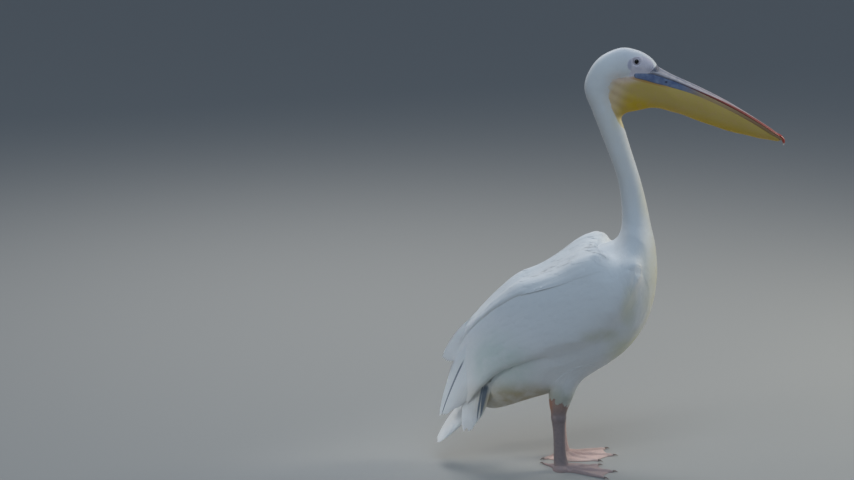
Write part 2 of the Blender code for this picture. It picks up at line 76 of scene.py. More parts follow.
# Body sections from the rear end over the head and on along the throat pouch to its tip:
# (dorsal x, z; ventral x, z; keel x, z; half width of the body, of the pouch at the jaw,
#  of the pouch where it bulges most; squareness, 2 is an ellipse)
BODY = {
    "rear end": (-.382, .228, -.352, .164, -.352, .164, .028, 0, 0, 2.0),
    "rump": (-.350, .322, -.294, .150, -.294, .150, .060, 0, 0, 2.1),
    "hip": (-.280, .415, -.205, .180, -.205, .180, .096, 0, 0, 2.2),
    "loin": (-.198, .484, -.110, .216, -.110, .216, .119, 0, 0, 2.35),
    "back": (-.118, .540, -.022, .270, -.022, .270, .128, 0, 0, 2.45),
    "shoulder": (-.052, .583, .054, .331, .054, .331, .124, 0, 0, 2.45),
    "chest": (-.008, .598, .104, .413, .104, .413, .113, 0, 0, 2.35),
    "crop": (.014, .610, .1225, .508, .1225, .508, .099, 0, 0, 2.2),
    "neck root": (.0265, .633, .1175, .592, .1175, .592, .075, 0, 0, 2.05),
    "low neck": (.0300, .668, .1030, .656, .1030, .656, .0460, 0, 0, 2.0),
    "neck bend": (.0265, .716, .0880, .722, .0880, .722, .0310, 0, 0, 2.0),
    "mid neck": (.0165, .770, .0690, .788, .0690, .788, .0275, 0, 0, 2.0),
    "neck rise": (-.0030, .826, .0490, .847, .0490, .847, .0265, 0, 0, 2.0),
    "throat": (-.0265, .884, .0300, .906, .0290, .9075, .0270, .012, .012, 2.0),
    "high neck": (-.0520, .948, .0070, .957, .0235, .9265, .0280, .0215, .0215, 2.0),
    "nape": (-.0715, 1.001, -.0010, .992, .0295, .9405, .0300, .0225, .0235, 2.0),
    "hind head": (-.0640, 1.043, .0090, 1.015, .0470, .9462, .0320, .0230, .0255, 2.05),
    "temple": (-.0350, 1.084, .0270, 1.029, .0700, .9513, .0335, .0232, .0268, 2.1),
    "crown": (.0150, 1.108, .0470, 1.034, .0930, .9563, .0330, .0232, .0270, 2.15),
    "brow": (.0580, 1.103, .0680, 1.036, .1130, .9562, .0300, .0225, .0265, 2.2),
    "lore": (.0900, 1.086, .0880, 1.036, .1320, .9520, .0250, .0210, .0255, 2.2),
    "bill root": (.1080, 1.065, .1050, 1.034, .1500, .9470, .0205, .0195, .0245, 2.2),
    "pouch 1": (.1400, 1.020, .1390, 1.012, .1750, .9405, .0040, .0178, .0232, 2.2),
    "pouch 2": (.1850, 1.004, .1840, .998, .2120, .9265, .0010, .0168, .0215, 2.2),
    "pouch 3": (.2350, .985, .2340, .979, .2550, .9125, .0010, .0163, .0200, 2.2),
    "pouch 4": (.2850, .9623, .2840, .957, .2980, .8990, .0010, .0163, .0190, 2.2),
    "pouch 5": (.3300, .9395, .3290, .934, .3380, .8905, .0010, .0165, .0182, 2.2),
    "pouch 6": (.3680, .9180, .3670, .913, .3710, .8828, .0010, .0160, .0168, 2.2),
    "pouch 7": (.3950, .9020, .3945, .898, .3960, .8793, .0010, .0135, .0140, 2.2),
    "pouch 8": (.4140, .8900, .4138, .887, .4150, .8762, .0010, .0115, .0118, 2.2),
    "pouch tip": (.4245, .8845, .4244, .882, .4245, .8775, .0005, .0050, .0050, 2.2),
}

# Folded wing from the wrist to the rear: upper ridge (x, y, z), lower edge (x, y, z), half thickness.
WING = (
    (.073, .092, .578, .080, .096, .562, .012),
    (.056, .090, .588, .077, .110, .524, .022),
    (.008, .084, .583, .048, .119, .462, .034),
    (-.036, .079, .613, .002, .121, .402, .039),
    (-.102, .070, .577, -.062, .121, .362, .040),
    (-.176, .060, .529, -.134, .116, .334, .037),
    (-.252, .047, .489, -.212, .104, .306, .032),
    (-.314, .036, .427, -.280, .088, .272, .026),
    (-.359, .028, .378, -.324, .074, .228, .019),
    (-.386, .025, .326, -.347, .066, .198, .010),
)
# Legs from the top down: centre x, centre z, fore-and-aft half width, sideways half width.
LEG = (
    (-.050, .345, .072, .022),
    (-.070, .298, .057, .034),
    (-.103, .248, .0385, .035),
    (-.1160, .213, .0330, .030),
    (-.1220, .183, .0270, .0235),
    (-.1240, .158, .0205, .0155),
    (-.1240, .1440, .0200, .0150),
    (-.1238, .1280, .0172, .0115),
    (-.1225, .1050, .0155, .0098),
    (-.1210, .0700, .0152, .0094),
    (-.1190, .0400, .0165, .0105),
    (-.1165, .0230, .0185, .0130),
    (-.1150, .0135, .0190, .0140),
    (-.1150, .0060, .0170, .0125),
)
FOOT_X = -.115
FOOT_TOP = .0132
HEEL = .0225
FOOT_HUB = .0165 * .55
WEB_THICK = .0028
# Toes as (angle from straight ahead, towards the outside; length; ridge height at the root).
TOES = {
    "hallux": (-140.0, .066, .0080),
    "inner": (-24.0, .108, .0105),
    "middle": (2.0, .138, .0115),
    "outer": (27.0, .130, .0105),
}
CLAW_LENGTH = .011
TOE_LOBE = .009            # how far a toe's end stands out past the web
SHOULDER_DROP = .014       # how much lower the right shoulder hangs than the left one
JAW_THICK = .0042          # each side of the lower jaw

# Bill stations from root to tip: x, edge z, ridge z, half width, underside z of the lower jaw.
BILL = (
    (.1040, 1.0460, 1.0655, .0215, 1.0235),
    (.1500, 1.0300, 1.0420, .0195, 1.0110),
    (.2070, 1.0060, 1.0170, .0180, .9930),
    (.2700, .9770, .9865, .0175, .9655),
    (.3210, .9510, .9580, .0180, .9415),
    (.3720, .9220, .9270, .0178, .9130),
    (.4020, .9020, .9075, .0150, .8940),
    (.4180, .8918, .8960, .0110, .8842),
    (.4265, .8862, .8900, .0070, .8790),
)
# Where the upper jaw's sides run back over the face, and the lower jaw to the mouth's corner.
BILL_ROOT = (
    (.0840, 1.0468, 1.0530, .0224, 1.0300),
    (.0940, 1.0474, 1.0595, .0219, 1.0270),
)
JAW_ROOT = (
    (.0515, 1.0500, 1.0500, .0240, 1.0372),
    (.0780, 1.0492, 1.0492, .0231, 1.0312),
)
# Hooked nail: centre x, centre z, half height, half width, from the root to the point.
NAIL = (
    (.4075, .8992, .0020, .0080),
    (.4155, .8942, .0028, .0088),
    (.4255, .8885, .0036, .0080),
    (.4315, .8800, .0038, .0055),
    (.4335, .8720, .0028, .0032),
    (.4330, .8660, .0010, .0011),
)

# Long feathers of the left side: the number in each group, and its key quills as
# root (x, y, z), bend (x, y, z), tip (x, y, z), half width, share of it that is slate, and
# how far the face is turned from the group's own outward direction to the side, in radians.
QUILLS = {
    "tertials": (11, (
        (-.350, .030, .388, -.392, .027, .352, -.4325, .022, .289, .0070, 0, 0),
        (-.352, .034, .370, -.392, .031, .335, -.4240, .026, .282, .0080, 0, 0),
        (-.354, .038, .350, -.385, .035, .318, -.4110, .031, .280, .0085, 0, 0),
        (-.356, .042, .330, -.378, .040, .308, -.3980, .037, .286, .0085, 0, 0),
        (-.358, .046, .318, -.370, .044, .303, -.3860, .042, .297, .0075, 0, 0),
    )),
    "secondaries": (9, (
        (-.366, .050, .335, -.405, .056, .262, -.4365, .060, .139, .0085, 0, 0),
        (-.362, .054, .315, -.398, .060, .240, -.4300, .063, .146, .0090, .26, 0),
        (-.356, .058, .300, -.388, .064, .225, -.4210, .066, .144, .0105, 0, 0),
        (-.348, .062, .285, -.376, .067, .215, -.4090, .068, .155, .0120, 0, 0),
        (-.338, .064, .268, -.362, .069, .210, -.3940, .068, .163, .0130, 0, 0),
    )),
    "primaries": (8, (
        (-.352, .052, .270, -.368, .056, .190, -.3725, .056, .098, .0105, 0, 0),
        (-.342, .056, .262, -.360, .060, .185, -.3655, .059, .108, .0110, 0, 0),
        (-.334, .060, .255, -.350, .063, .180, -.3560, .061, .097, .0115, 0, 0),
        (-.322, .064, .250, -.336, .066, .185, -.3435, .063, .118, .0105, 0, 0),
        (-.308, .068, .246, -.319, .069, .200, -.3310, .064, .137, .0125, .66, 0),
    )),
    "tail": (9, (
        (-.335, .001, .200, -.405, .003, .152, -.4490, .003, .057, .0125, 0, .10),
        (-.334, .010, .199, -.403, .017, .150, -.4470, .017, .056, .0125, 0, .30),
        (-.328, .020, .195, -.397, .030, .145, -.4430, .031, .058, .0125, 0, .65),
        (-.321, .026, .190, -.389, .039, .138, -.4330, .040, .067, .0120, 0, 1.05),
        (-.315, .028, .185, -.383, .042, .132, -.4190, .043, .079, .0115, 0, 1.35),
    )),
}

# How deep the edges of the long feathers are frayed towards the tip, where not 6 %.
FRAY = {"tertials": .38, "tail": .12}
SHAFT_RIDGE = .0005        # height of a long feather's shaft over its vane
QUILL_THICK = .0007        # thickness of its vane at the shaft
QUILL_APART = .0009        # each feather of a group lies this much under the one before
VANE_EDGE = 55             # degrees: a sharper edge of a vane isn't shaded smooth

# The mantle, the feathers of the back and shoulders, has a row of control points at each of these
# stations of the wing, and reaches down the wing to this share of its girth.
MANTLE_STATIONS = (1.45, 2.0, 2.7, 3.4, 4.2, 5.0, 5.8, 6.6, 7.4, 8.1, 8.6)
MANTLE_EDGE = ((0, .12), (1, .14), (3, .17), (4, .165), (5, .15), (6, .135), (7, .11), (9, .08))
# Share of the way from the back up to the wing's ridge that they fill between the wings.
MANTLE_FILL = ((1, .15), (3, .30), (5, .50), (7, .75), (9, .92))
MANTLE_ROWS = 2 + len(MANTLE_STATIONS)     # with two rows of the collar
# Collar where they rise on to the neck: x, y, z of the middle and of four places down the side.
COLLAR = (
    (.037, 0, .645, .045, .018, .644, .055, .030, .641, .068, .038, .634, .084, .038, .622),
    (.012, 0, .600, .024, .034, .597, .043, .064, .592, .063, .086, .580, .075, .092, .560),
)

# Depth of the coat over the skin, by station along the body.
COAT = ((0, .009), (4, .009), (7, .007), (9, .0045), (13, .0035), (15.5, .0022), (19, .0014), (21, .0008))
HEAD_FROM = (12.0, 13.2)   # body stations over which the bare parts of the head begin
COAT_END = 21.8            # body station just past the last of the plumage
WING_COAT = .007
THIGH_COAT = .005
LEG_X = -.1155             # middle of the leg where its feathers end
FEATHER_EDGE_Z = .200      # height of that end
FEATHER_EDGE_SLANT = .40   # the end rises toward the rear of the leg


# ---------------------------------------------------------------- curves and sections
def spline(rows, t):
    """Catmull-Rom curve through the rows: a cubic between neighbours whose slope at each row is
    half the step from the row before to the row after."""
    rows = np.asarray(rows, float)
    last = len(rows) - 1
    slopes = np.gradient(rows, axis=0)
    i = np.clip(np.floor(t).astype(int), 0, last - 1)
    f = (t - i)[..., None]
    return (
        rows[i] * (2 * f**3 - 3 * f**2 + 1)
        + slopes[i] * (f**3 - 2 * f**2 + f)
        + rows[i + 1] * (3 * f**2 - 2 * f**3)
        + slopes[i + 1] * (f**3 - f**2)
    )


def smooth(x, low=0.0, high=1.0):
    """Rises from 0 at low to 1 at high as 3f^2 - 2f^3."""
    f = np.clip((x - low) / (high - low), 0.0, 1.0)
    return f * f * (3 - 2 * f)


def fade(x, low=0.0, high=1.0):
    """Falls from 1 at low to 0 at high."""
    return 1 - smooth(x, low, high)


def superellipse(angle, power=2.0):
    """Unit closed section as height and side offset at each angle from the top: cos and sin
    raised to 2 / power, with their signs kept."""
    up, side = np.cos(angle), np.sin(angle)
    e = 2.0 / power
    return np.sign(up) * np.abs(up) ** e, np.sign(side) * np.abs(side) ** e


def turns(count):
    """So many angles evenly round a full turn, from 0."""
    return 2 * math.pi * np.arange(count) / count


def outer_normals(places, round_, along):
    """Unit normals of a tube's places from its slopes round and along it, turned away from the
    middle of its sections."""
    normal = unit(np.cross(round_, along))
    return normal if np.sum(normal * (places - places.mean(1, keepdims=True))) >= 0 else -normal


def grid(x, y, z):
    """A table of places from their x, y and z, each given for the whole table or for its rows."""
    return np.stack(np.broadcast_arrays(x, y, z), -1)


def read_off(table, at):
    """The second column of a table at places in its first, on straight lines between rows."""
    return np.interp(at, *np.array(table).T)


def unit(v):
    """Vectors brought to length 1."""
    return v / np.maximum(np.linalg.norm(v, axis=-1, keepdims=True), 1e-12)


def body_places(t, angle):
    """Outer surface of trunk, neck, head and pouch at stations t and angles from the top.

    Each section follows a path from the dorsal point to the ventral point and on, round a soft
    bend, to the keel; the share of the path is (1 - cos angle) / 2.  The half width there is the
    larger of a superellipse over the first leg and the pouch's own profile, rounded where the
    two are alike.
    """
    row = spline(list(BODY.values()), t)
    dorsal, ventral, keel = row[:, 0:2], row[:, 2:4], row[:, 4:6]
    half, at_jaw, bulge, power = (row[:, k, None] for k in (6, 7, 8, 9))
    first = np.linalg.norm(ventral - dorsal, axis=1)[:, None]
    second = np.linalg.norm(keel - ventral, axis=1)[:, None]
    run = (first + second) * (1 - np.cos(angle)) / 2
    past = run - first
    bend = 0.25 * second
    beyond = (past + np.sqrt(past**2 + bend**2)) / 2
    beyond = np.where(second > 1e-4, beyond, 0.0)
    down = unit(ventral - dorsal)[:, None]
    on = unit(keel - ventral + 1e-9)[:, None]
    middle = dorsal[:, None] + down * (run - beyond)[..., None] + on * beyond[..., None]

    up = np.clip(1 - 2 * run / first, -1, 1)
    body = half * (1 - np.abs(up) ** power) ** (1 / power) * (1 + 0.06 * up)
    root = 0.5 * first * smooth(half, .004, .020)
    depth = np.clip((run - root) / (first + second - root), 0, 1)
    bag = at_jaw + (bulge - at_jaw) * np.sin(np.minimum(depth / 0.45, 1) * math.pi / 2)
    bag = bag * (1 - depth**2.2) ** 0.55 * (1 + 0.12 * depth)
    lip = np.clip(run / .004, 0, 1)
    bag = np.maximum(bag, 0) * np.sqrt(1 - (1 - lip) ** 2) * np.where(run < root, run / (root + 1e-9), 1)
    alike = 4 * body * bag / ((body + bag) ** 2 + 1e-9)
    wide = (body + bag + np.sqrt((body - bag) ** 2 + (.006 * alike) ** 2)) / 2
    side = np.where(np.sin(angle) < 0, -1.0, 1.0)
    x = middle[..., 0] + CENTRE_X
    return np.stack([x, side * wide, middle[..., 1]], -1)


def blade_places(table, t, angle, power=2.3):
    """A flattened loft between an upper and a lower 3-D edge: a superellipse whose long axis
    joins the edges and whose short axis is square to it and to the way the blade runs."""
    row = spline(table, t)
    upper, lower = row[:, 0:3], row[:, 3:6]
    travel = np.gradient((upper + lower) / 2, t, axis=0)
    across = unit(np.cross(travel, upper - lower))
    up, side = superellipse(angle, power)
    places = (
        ((upper + lower) / 2)[:, None]
        + ((upper - lower) / 2)[:, None] * up[None, :, None]
        + across[:, None] * (row[:, 6:7] * side)[..., None]
    )
    places[..., 0] += CENTRE_X
    return places


def wing_sheet(steps, count):
    """The left wing's outer surface as a sheet."""
    return Sheet(lambda t, angle: blade_places(WING, t, angle), 0, len(WING) - 1, steps, count)


def leg_places(t, angle):
    """Level oval sections down a leg about x = 0 across: superellipse of power 2.2."""
    row = spline(LEG, t)
    up, side = superellipse(angle, 2.2)
    return grid(CENTRE_X + row[:, 0:1] + row[:, 2:3] * up, row[:, 3:4] * side, row[:, 1:2])


class Sheet:
    """A closed tube surface kept as a table of places over (t, u), read between its entries.

    t runs along the tube between two station numbers; u runs once round it, from 0 to 1.  The
    place at (t, u) is the straight-line mix of the four entries round it, carried on past the
    ends.  gt and gu are metres for each unit of t and of u.
    """

    def __init__(self, formula, first, last, steps, count):
        """Reads the formula at so many steps of t and so many angles."""
        self.t = np.linspace(first, last, steps)
        self.places = formula(self.t, turns(count))
        self.pitch = self.t[1] - self.t[0]
        self.count = count
        along = np.gradient(self.places, self.pitch, axis=0)
        after, before = np.roll(self.places, -1, 1), np.roll(self.places, 1, 1)
        round_ = (after - before) * count / 2
        self.gt = np.linalg.norm(along, axis=-1)
        self.gu = np.linalg.norm(round_, axis=-1)
        self.normal = outer_normals(self.places, round_, along)

    def corner(self, t, u):
        """The table cell that holds (t, u) and the shares of the way across it."""
        i = (np.asarray(t) - self.t[0]) / self.pitch
        row = np.clip(np.floor(i).astype(int), 0, len(self.t) - 2)
        j = np.asarray(u) * self.count
        column = np.floor(j).astype(int)
        return row, column % self.count, (column + 1) % self.count, i - row, j - column

    def mix(self, table, t, u):
        """The straight-line mix of a table's four entries round each (t, u)."""
        row, left, right, f, g = self.corner(t, u)
        if table.ndim == 3:
            f, g = f[..., None], g[..., None]
        near = table[row, left] * (1 - g) + table[row, right] * g
        far = table[row + 1, left] * (1 - g) + table[row + 1, right] * g
        return near * (1 - f) + far * f

    def stretch(self, t, u):
        """Length of a station at (t, u) over its mean round the section."""
        return self.mix(self.gt, t, u) / np.interp(t, self.t, self.gt.mean(1))

    def stations_apart(self, step, first, last):
        """Stations from first to last whose mean distance apart is step(t)."""
        t = np.linspace(first, last, 800)
        metres = np.interp(t, self.t, self.gt.mean(1))
        rows = np.concatenate([[0], np.cumsum(metres[1:] * np.diff(t) / step(t[1:]))])
        count = int(rows[-1])
        return np.interp(np.arange(count) + 0.5, rows, t)

    def lattice(self, step, share, first, last, rng):
        """Places for vanes: rows step(t) apart, and round each row one place for each share(t)
        metres of girth, with every other row moved round by half a place and all of them
        jittered a little."""
        t_rows = self.stations_apart(step, first, last)
        nearest = np.clip(np.round((t_rows - self.t[0]) / self.pitch).astype(int), 0, len(self.t) - 1)
        arc = np.cumsum(self.gu[nearest], axis=1) / self.count
        girth = arc[:, -1]
        counts = np.maximum(np.round(girth / share(t_rows)).astype(int), 6)
        row = np.repeat(np.arange(len(t_rows)), counts)
        start = np.cumsum(counts) - counts
        within = np.arange(len(row)) - start[row]
        shift = 0.5 * (row % 2) + rng.uniform(-0.22, 0.22, len(row))
        around = np.mod((within + shift) / counts[row], 1.0)
        # Share of the girth to u: one rising table of all rows, read at row + share.
        arc = np.concatenate([np.zeros((len(arc), 1)), arc], axis=1)
        knots = (arc / arc[:, -1:] * (1 - 1e-9) + np.arange(len(t_rows))[:, None]).ravel()
        values = (np.arange(self.count + 1) / self.count + np.zeros((len(t_rows), 1))).ravel()
        u = np.interp(around + row, knots, values)
        pitch = np.gradient(t_rows)[row]
        t = t_rows[row] + pitch * rng.uniform(-0.18, 0.18, len(row))
        return t, u


# ---------------------------------------------------------------- meshes
def read(items, name, width, kind=np.float32):
    """One attribute of all the items as an array."""
    values = np.empty(len(items) * width, kind)
    items.foreach_get(name, values)
    return values.reshape(-1, width).astype(float if kind is np.float32 else int)


def write(items, name, values, kind=np.float32):
    """Gives one attribute of all the items its values."""
    items.foreach_set(name, np.ascontiguousarray(values, kind).ravel())


def linked(name, data):
    """An object of the data, in the scene."""
    made = bpy.data.objects.new(name, data)
    bpy.context.scene.collection.objects.link(made)
    return made


def evaluated(obj):
    """A copy of the object's mesh with its modifiers applied."""
    bpy.context.view_layer.update()
    graph = bpy.context.evaluated_depsgraph_get()
    return bpy.data.meshes.new_from_object(obj.evaluated_get(graph))


def keep_values(mesh, values):
    """Keeps named values on the mesh's points."""
    for name, points in values.items():
        write(mesh.attributes.new(name, "FLOAT", "POINT").data, "value", points)


def new_object(name, verts, faces, uv_maps=None, values=None, sharp=None):
    """Object at the origin from arrays: places, triangles, per-corner UV maps and per-point
    values; faces smooth, with edges sharper than the given angle kept."""
    mesh = bpy.data.meshes.new(name)
    mesh.vertices.add(len(verts))
    write(mesh.vertices, "co", verts)
    mesh.loops.add(faces.size)
    write(mesh.loops, "vertex_index", faces, np.int32)
    mesh.polygons.add(len(faces))
    write(mesh.polygons, "loop_start", np.arange(0, faces.size, 3), np.int32)
    mesh.update(calc_edges=True)
    for map_name, corners in (uv_maps or {}).items():
        write(mesh.uv_layers.new(name=map_name).data, "uv", corners)
    keep_values(mesh, values or {})
    mesh.shade_smooth()
    if sharp is not None:
        mesh.set_sharp_from_angle(angle=math.radians(sharp))
    return linked(name, mesh)


def outward(verts, faces, uv):
    """The same mesh, its triangles turned round if the volume they enclose comes out negative."""
    a, b, c = (verts[faces[:, k]] for k in range(3))
    if np.einsum("ij,ij->i", a, np.cross(b, c)).sum() < 0:
        return verts, faces[:, ::-1], uv[:, ::-1]
    return verts, faces, uv


def table_cells(rows, columns):
    """Rows and columns of the corners of the triangles over a table: two for each cell."""
    i, j = (q.ravel() for q in np.meshgrid(np.arange(rows), np.arange(columns), indexing="ij"))
    corner_rows = [np.stack(tri, 1) for tri in ((i, i, i + 1), (i, i + 1, i + 1))]
    corner_columns = [np.stack(tri, 1) for tri in ((j, j + 1, j + 1), (j, j + 1, j))]
    return np.concatenate(corner_rows), np.concatenate(corner_columns)


def in_window(uv, window):
    """UVs from 0 to 1 moved into a window (u, v, u, v) of the map."""
    low = np.array(window[:2])
    return low + uv * (np.array(window[2:]) - low)


def tube_mesh(places, window=(0, 0, 1, 1)):
    """Closed surface over a table of sections (steps, count, 3): two triangles for each cell and
    a fan to the middle of each end.  The UV of a corner is its place in the table, in window."""
    steps, count = places.shape[:2]
    rows, columns = table_cells(steps - 1, count)
    faces = rows * count + columns % count
    uv = np.stack([columns / count, rows / (steps - 1)], -1)
    verts = places.reshape(-1, 3)
    ring = np.arange(count)
    around = np.stack([ring, ring + 1, ring + 0.5], 1) / count
    for row, way in ((0, -1), (steps - 1, 1)):
        fan = np.stack([row * count + ring, row * count + (ring + 1) % count, 0 * ring + len(verts)], 1)
        fan_uv = np.stack([around, np.full((count, 3), row / (steps - 1))], -1)
        verts = np.concatenate([verts, places[row].mean(0, keepdims=True)])
        faces = np.concatenate([faces, fan[:, ::way]])
        uv = np.concatenate([uv, fan_uv[:, ::way]])
    return outward(verts, faces, in_window(uv, window))


def ring_mesh(places, window):
    """Closed surface over a table of sections that runs on from its last section to its first."""
    steps, count = places.shape[:2]
    rows, columns = table_cells(steps, count)
    uv = np.stack([columns / count, rows / steps], -1)
    return outward(places.reshape(-1, 3), rows % steps * count + columns % count, in_window(uv, window))


def joined(parts):
    """Several meshes (verts, faces, and any arrays by corner) as one."""
    columns = [list(column) for column in zip(*parts)]
    starts = np.cumsum([0] + [len(verts) for verts in columns[0][:-1]])
    columns[1] = [faces + start for faces, start in zip(columns[1], starts)]
    return [np.concatenate(column) for column in columns]


def mirrored(part):
    """The same piece on the other side: y changes sign and the triangles turn round."""
    verts, *corners = part
    return verts * MIRROR, *(q[:, ::-1] for q in corners)


def settled(places):
    """The right shoulder hangs lower than the left one: heights fall by its drop times smooth
    steps of x, of y and of z round the right wing's ridge."""
    x, y, z = places[:, 0] - CENTRE_X, -places[:, 1], places[:, 2]
    share = smooth(x, -.24, -.12) * fade(x, -.005, .055) * smooth(y, .010, .060) * smooth(z, .47, .57)
    return places - np.stack([0 * x, 0 * x, SHOULDER_DROP * share], 1)


def finished(obj, slot, material, *nodes):
    """Gives a piece its material and its body and hides the nodes that it stands for; the slot is not used.
    """
    places = settled(read(obj.data.vertices, "co", 3))
    write(obj.data.vertices, "co", places)
    obj.data.update()
    obj.data.materials.clear()
    obj.data.materials.append(material)
    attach(obj, "root")
    if nodes:
        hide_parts(*nodes)
    return obj


def tube_piece(name, places, slot, material, *nodes, **values):
    """A closed piece over a table of sections, with its values by point."""
    verts, faces, uv = tube_mesh(places)
    made = new_object(name, verts, faces, {"Along": uv}, values)
    return finished(made, slot, material, *nodes)


# ---------------------------------------------------------------- regions of the surface
def face_field(x, z):
    """Above 0 on the bare skin round the eye: a slanting ellipse joined to a disc at the gape."""
    x = x - CENTRE_X
    dx, dz = x - .0685, z - 1.0675 + .12 * (x - .0685)
    oval = 1 - np.hypot(dx / .0350, dz / .0240)
    disc = 1 - np.hypot((x - .053) / .014, (z - 1.043) / .013)
    return np.maximum(oval, disc)


def face_share(x, z):
    """1 on the bare skin round the eye."""
    return smooth(face_field(x, z), -.03, .08)


def brow_field(x, z):
    """Metres in front of a line that climbs forwards over the side of the face."""
    return x - CENTRE_X - .0895 - .0150 * (z - 1.0475) / .0170


def brow_share(x, z):
    """1 on the horny wedge at the bill's root."""
    return smooth(brow_field(x, z), -.0008, .0012) * smooth(z, 1.040, 1.046)


# Edge between the white neck and the bare throat: height and x.
THROAT_EDGE = (
    (.872, .090), (.884, .060), (.893, .0420), (.906, .0250), (.924, .0135), (.945, .004),
    (.962, -.004), (.985, -.0105), (1.010, -.0130), (1.030, -.0130), (1.043, .002),
)
# Upper edge of the bare throat behind and under the jaw: x and height.
THROAT_TOP = (
    (-.02, 1.046), (0, 1.045), (.030, 1.041), (.060, 1.0395), (.100, 1.0350), (.140, 1.024), (.420, .920),
)


def pouch_fields(x, z):
    """Metres in front of the throat's edge and under its upper edge."""
    x = x - CENTRE_X
    return x - read_off(THROAT_EDGE, z), read_off(THROAT_TOP, x) - z


def pouch_share(x, z):
    """1 on the bare skin of pouch and throat."""
    ahead, under = pouch_fields(x, z)
    soft = .001 + .012 * smooth(z, .985, 1.030)
    return smooth(ahead, -soft, 2 * soft) * smooth(under, -.002, .003)


def nearly_bare(x, z):
    """Rises to 1 at the edge of the bare regions from 0 about 14 mm outside them."""
    ahead, under = pouch_fields(x, z)
    field = np.maximum(np.minimum(ahead, under) / .014, face_field(x, z) / .45)
    field = np.maximum(field, brow_field(x, z) / .014)
    return smooth(field, -1.0, .0)


def bare_share(x, z):
    """1 wherever the head is bare."""
    return np.maximum(np.maximum(face_share(x, z), pouch_share(x, z)), brow_share(x, z))


def feather_edge(x):
    """Height at which the leg's feathers end: it rises toward the rear of the leg."""
    return FEATHER_EDGE_Z + FEATHER_EDGE_SLANT * np.clip(LEG_X - x, -.03, .03)


def leg_share(x, z):
    """1 on the bare leg and foot."""
    edge = feather_edge(x)
    on_leg = np.maximum(1 - smooth(np.abs(x - LEG_X), .040, .050), 1 - smooth(z, .05, .06))
    return on_leg * fade(z, edge - .004, edge + .010)


# ---------------------------------------------------------------- the skin
# Windows of the bake map (u, v, u, v): body and mantle, and each side's wing, lid, leg and foot.
WINDOWS = {
    "body": (0, 0, .62, 1), "mantle": (.64, 0, .80, .50),
    ("wing", "L"): (.64, .52, .80, .72), ("wing", "R"): (.64, .73, .80, .93),
    ("lid", "L"): (.82, .94, .98, .99), ("lid", "R"): (.64, .94, .80, .99),
    ("leg", "L"): (.82, 0, .98, .22), ("leg", "R"): (.82, .52, .98, .74),
    ("foot", "L"): (.82, .24, .98, .41), ("foot", "R"): (.82, .76, .98, .93),
}


def stations(*stretches):
    """Places along neighbouring stretches (first, last, count), with the last end included."""
    ends = [i == len(stretches) - 1 for i in range(len(stretches))]
    return np.concatenate([np.linspace(*stretch, endpoint=end) for stretch, end in zip(stretches, ends)])


def eye_relief(verts):
    """Socket: within 10 mm of an eye's axis the side of the head is drawn to a sphere a little
    larger than the eyeball, and inside 7 mm it drops behind the eyeball, under the lid's ring.
    A fine groove runs round it."""
    reach = np.hypot(verts[:, 0] - CENTRE_X - EYE_AT[0], verts[:, 2] - EYE_AT[2])
    away = np.abs(verts[:, 1])
    beside = away > .012
    lid = EYE_RADIUS + .0004
    ball = EYE_AT[1] + np.sqrt(np.maximum(lid**2 - np.minimum(reach, .0076) ** 2, 0))
    ball = ball - .0042 * fade(reach, .0066, .0072)
    groove = -.0007 * np.exp(-(((reach - .0098) / .0011) ** 2))
    share = fade(reach, .0078, .0112) * beside
    moved = away + (ball - away) * share + groove * beside
    verts[:, 1] = np.sign(verts[:, 1]) * moved
    return verts


def face_relief(verts, normal):
    """Fine folds of the bare face, moved along the normal: ripples that follow the bill's root
    and the eye, a brow over the eye, a fold behind each of the bare patch and the gape, and
    slack ripples down the throat."""
    x, z = verts[:, 0] - CENTRE_X, verts[:, 2]
    root = np.hypot(x - .112, (z - 1.052) * 1.2)
    near_root = smooth(root, .004, .010) * fade(root, .022, .034)
    ripple = .00032 * np.sin(root / .00085 + 1.5 * np.sin(z / .004)) * near_root
    eye = np.hypot(x - EYE_AT[0], z - EYE_AT[2])
    turn = np.arctan2(z - EYE_AT[2], x - EYE_AT[0])
    wave = eye / .00095 + 2.4 * np.sin(2 * turn + x / .007) + 1.5 * np.sin(z / .0035)
    weak = .30 + .70 * np.sin(1.5 * turn + .8) ** 2
    ripple = ripple + .00017 * np.sin(wave) * weak * smooth(eye, .0115, .015) * fade(eye, .018, .028)
    brow = .0009 * np.exp(-((eye - .0130) / .0018) ** 2) * smooth(z, 1.074, 1.086)
    behind = np.hypot(x - .0640, (z - 1.0660) * .9) - .0235
    groove = .0011 * np.exp(-((behind / .0014) ** 2))
    brow = brow - groove * fade(x, .046, .058) * smooth(z, 1.048, 1.056)
    gape = -.0009 * np.exp(-((np.hypot((x - .060) / 1.6, z - 1.043) - .0085) / .0012) ** 2)
    gape = gape * fade(x, .050, .058) * smooth(z, 1.022, 1.030) * fade(z, 1.050, 1.058)
    slack = .0006 * np.sin((x * .35 + z) / .0042 + 2.2 * np.sin(x / .03)) * pouch_share(verts[:, 0], z)
    slack = slack * fade(x, .030, .075) * smooth(z, .915, .935)
    moved = (ripple + brow) * face_share(verts[:, 0], z) + gape + slack
    return verts + normal * moved[:, None]


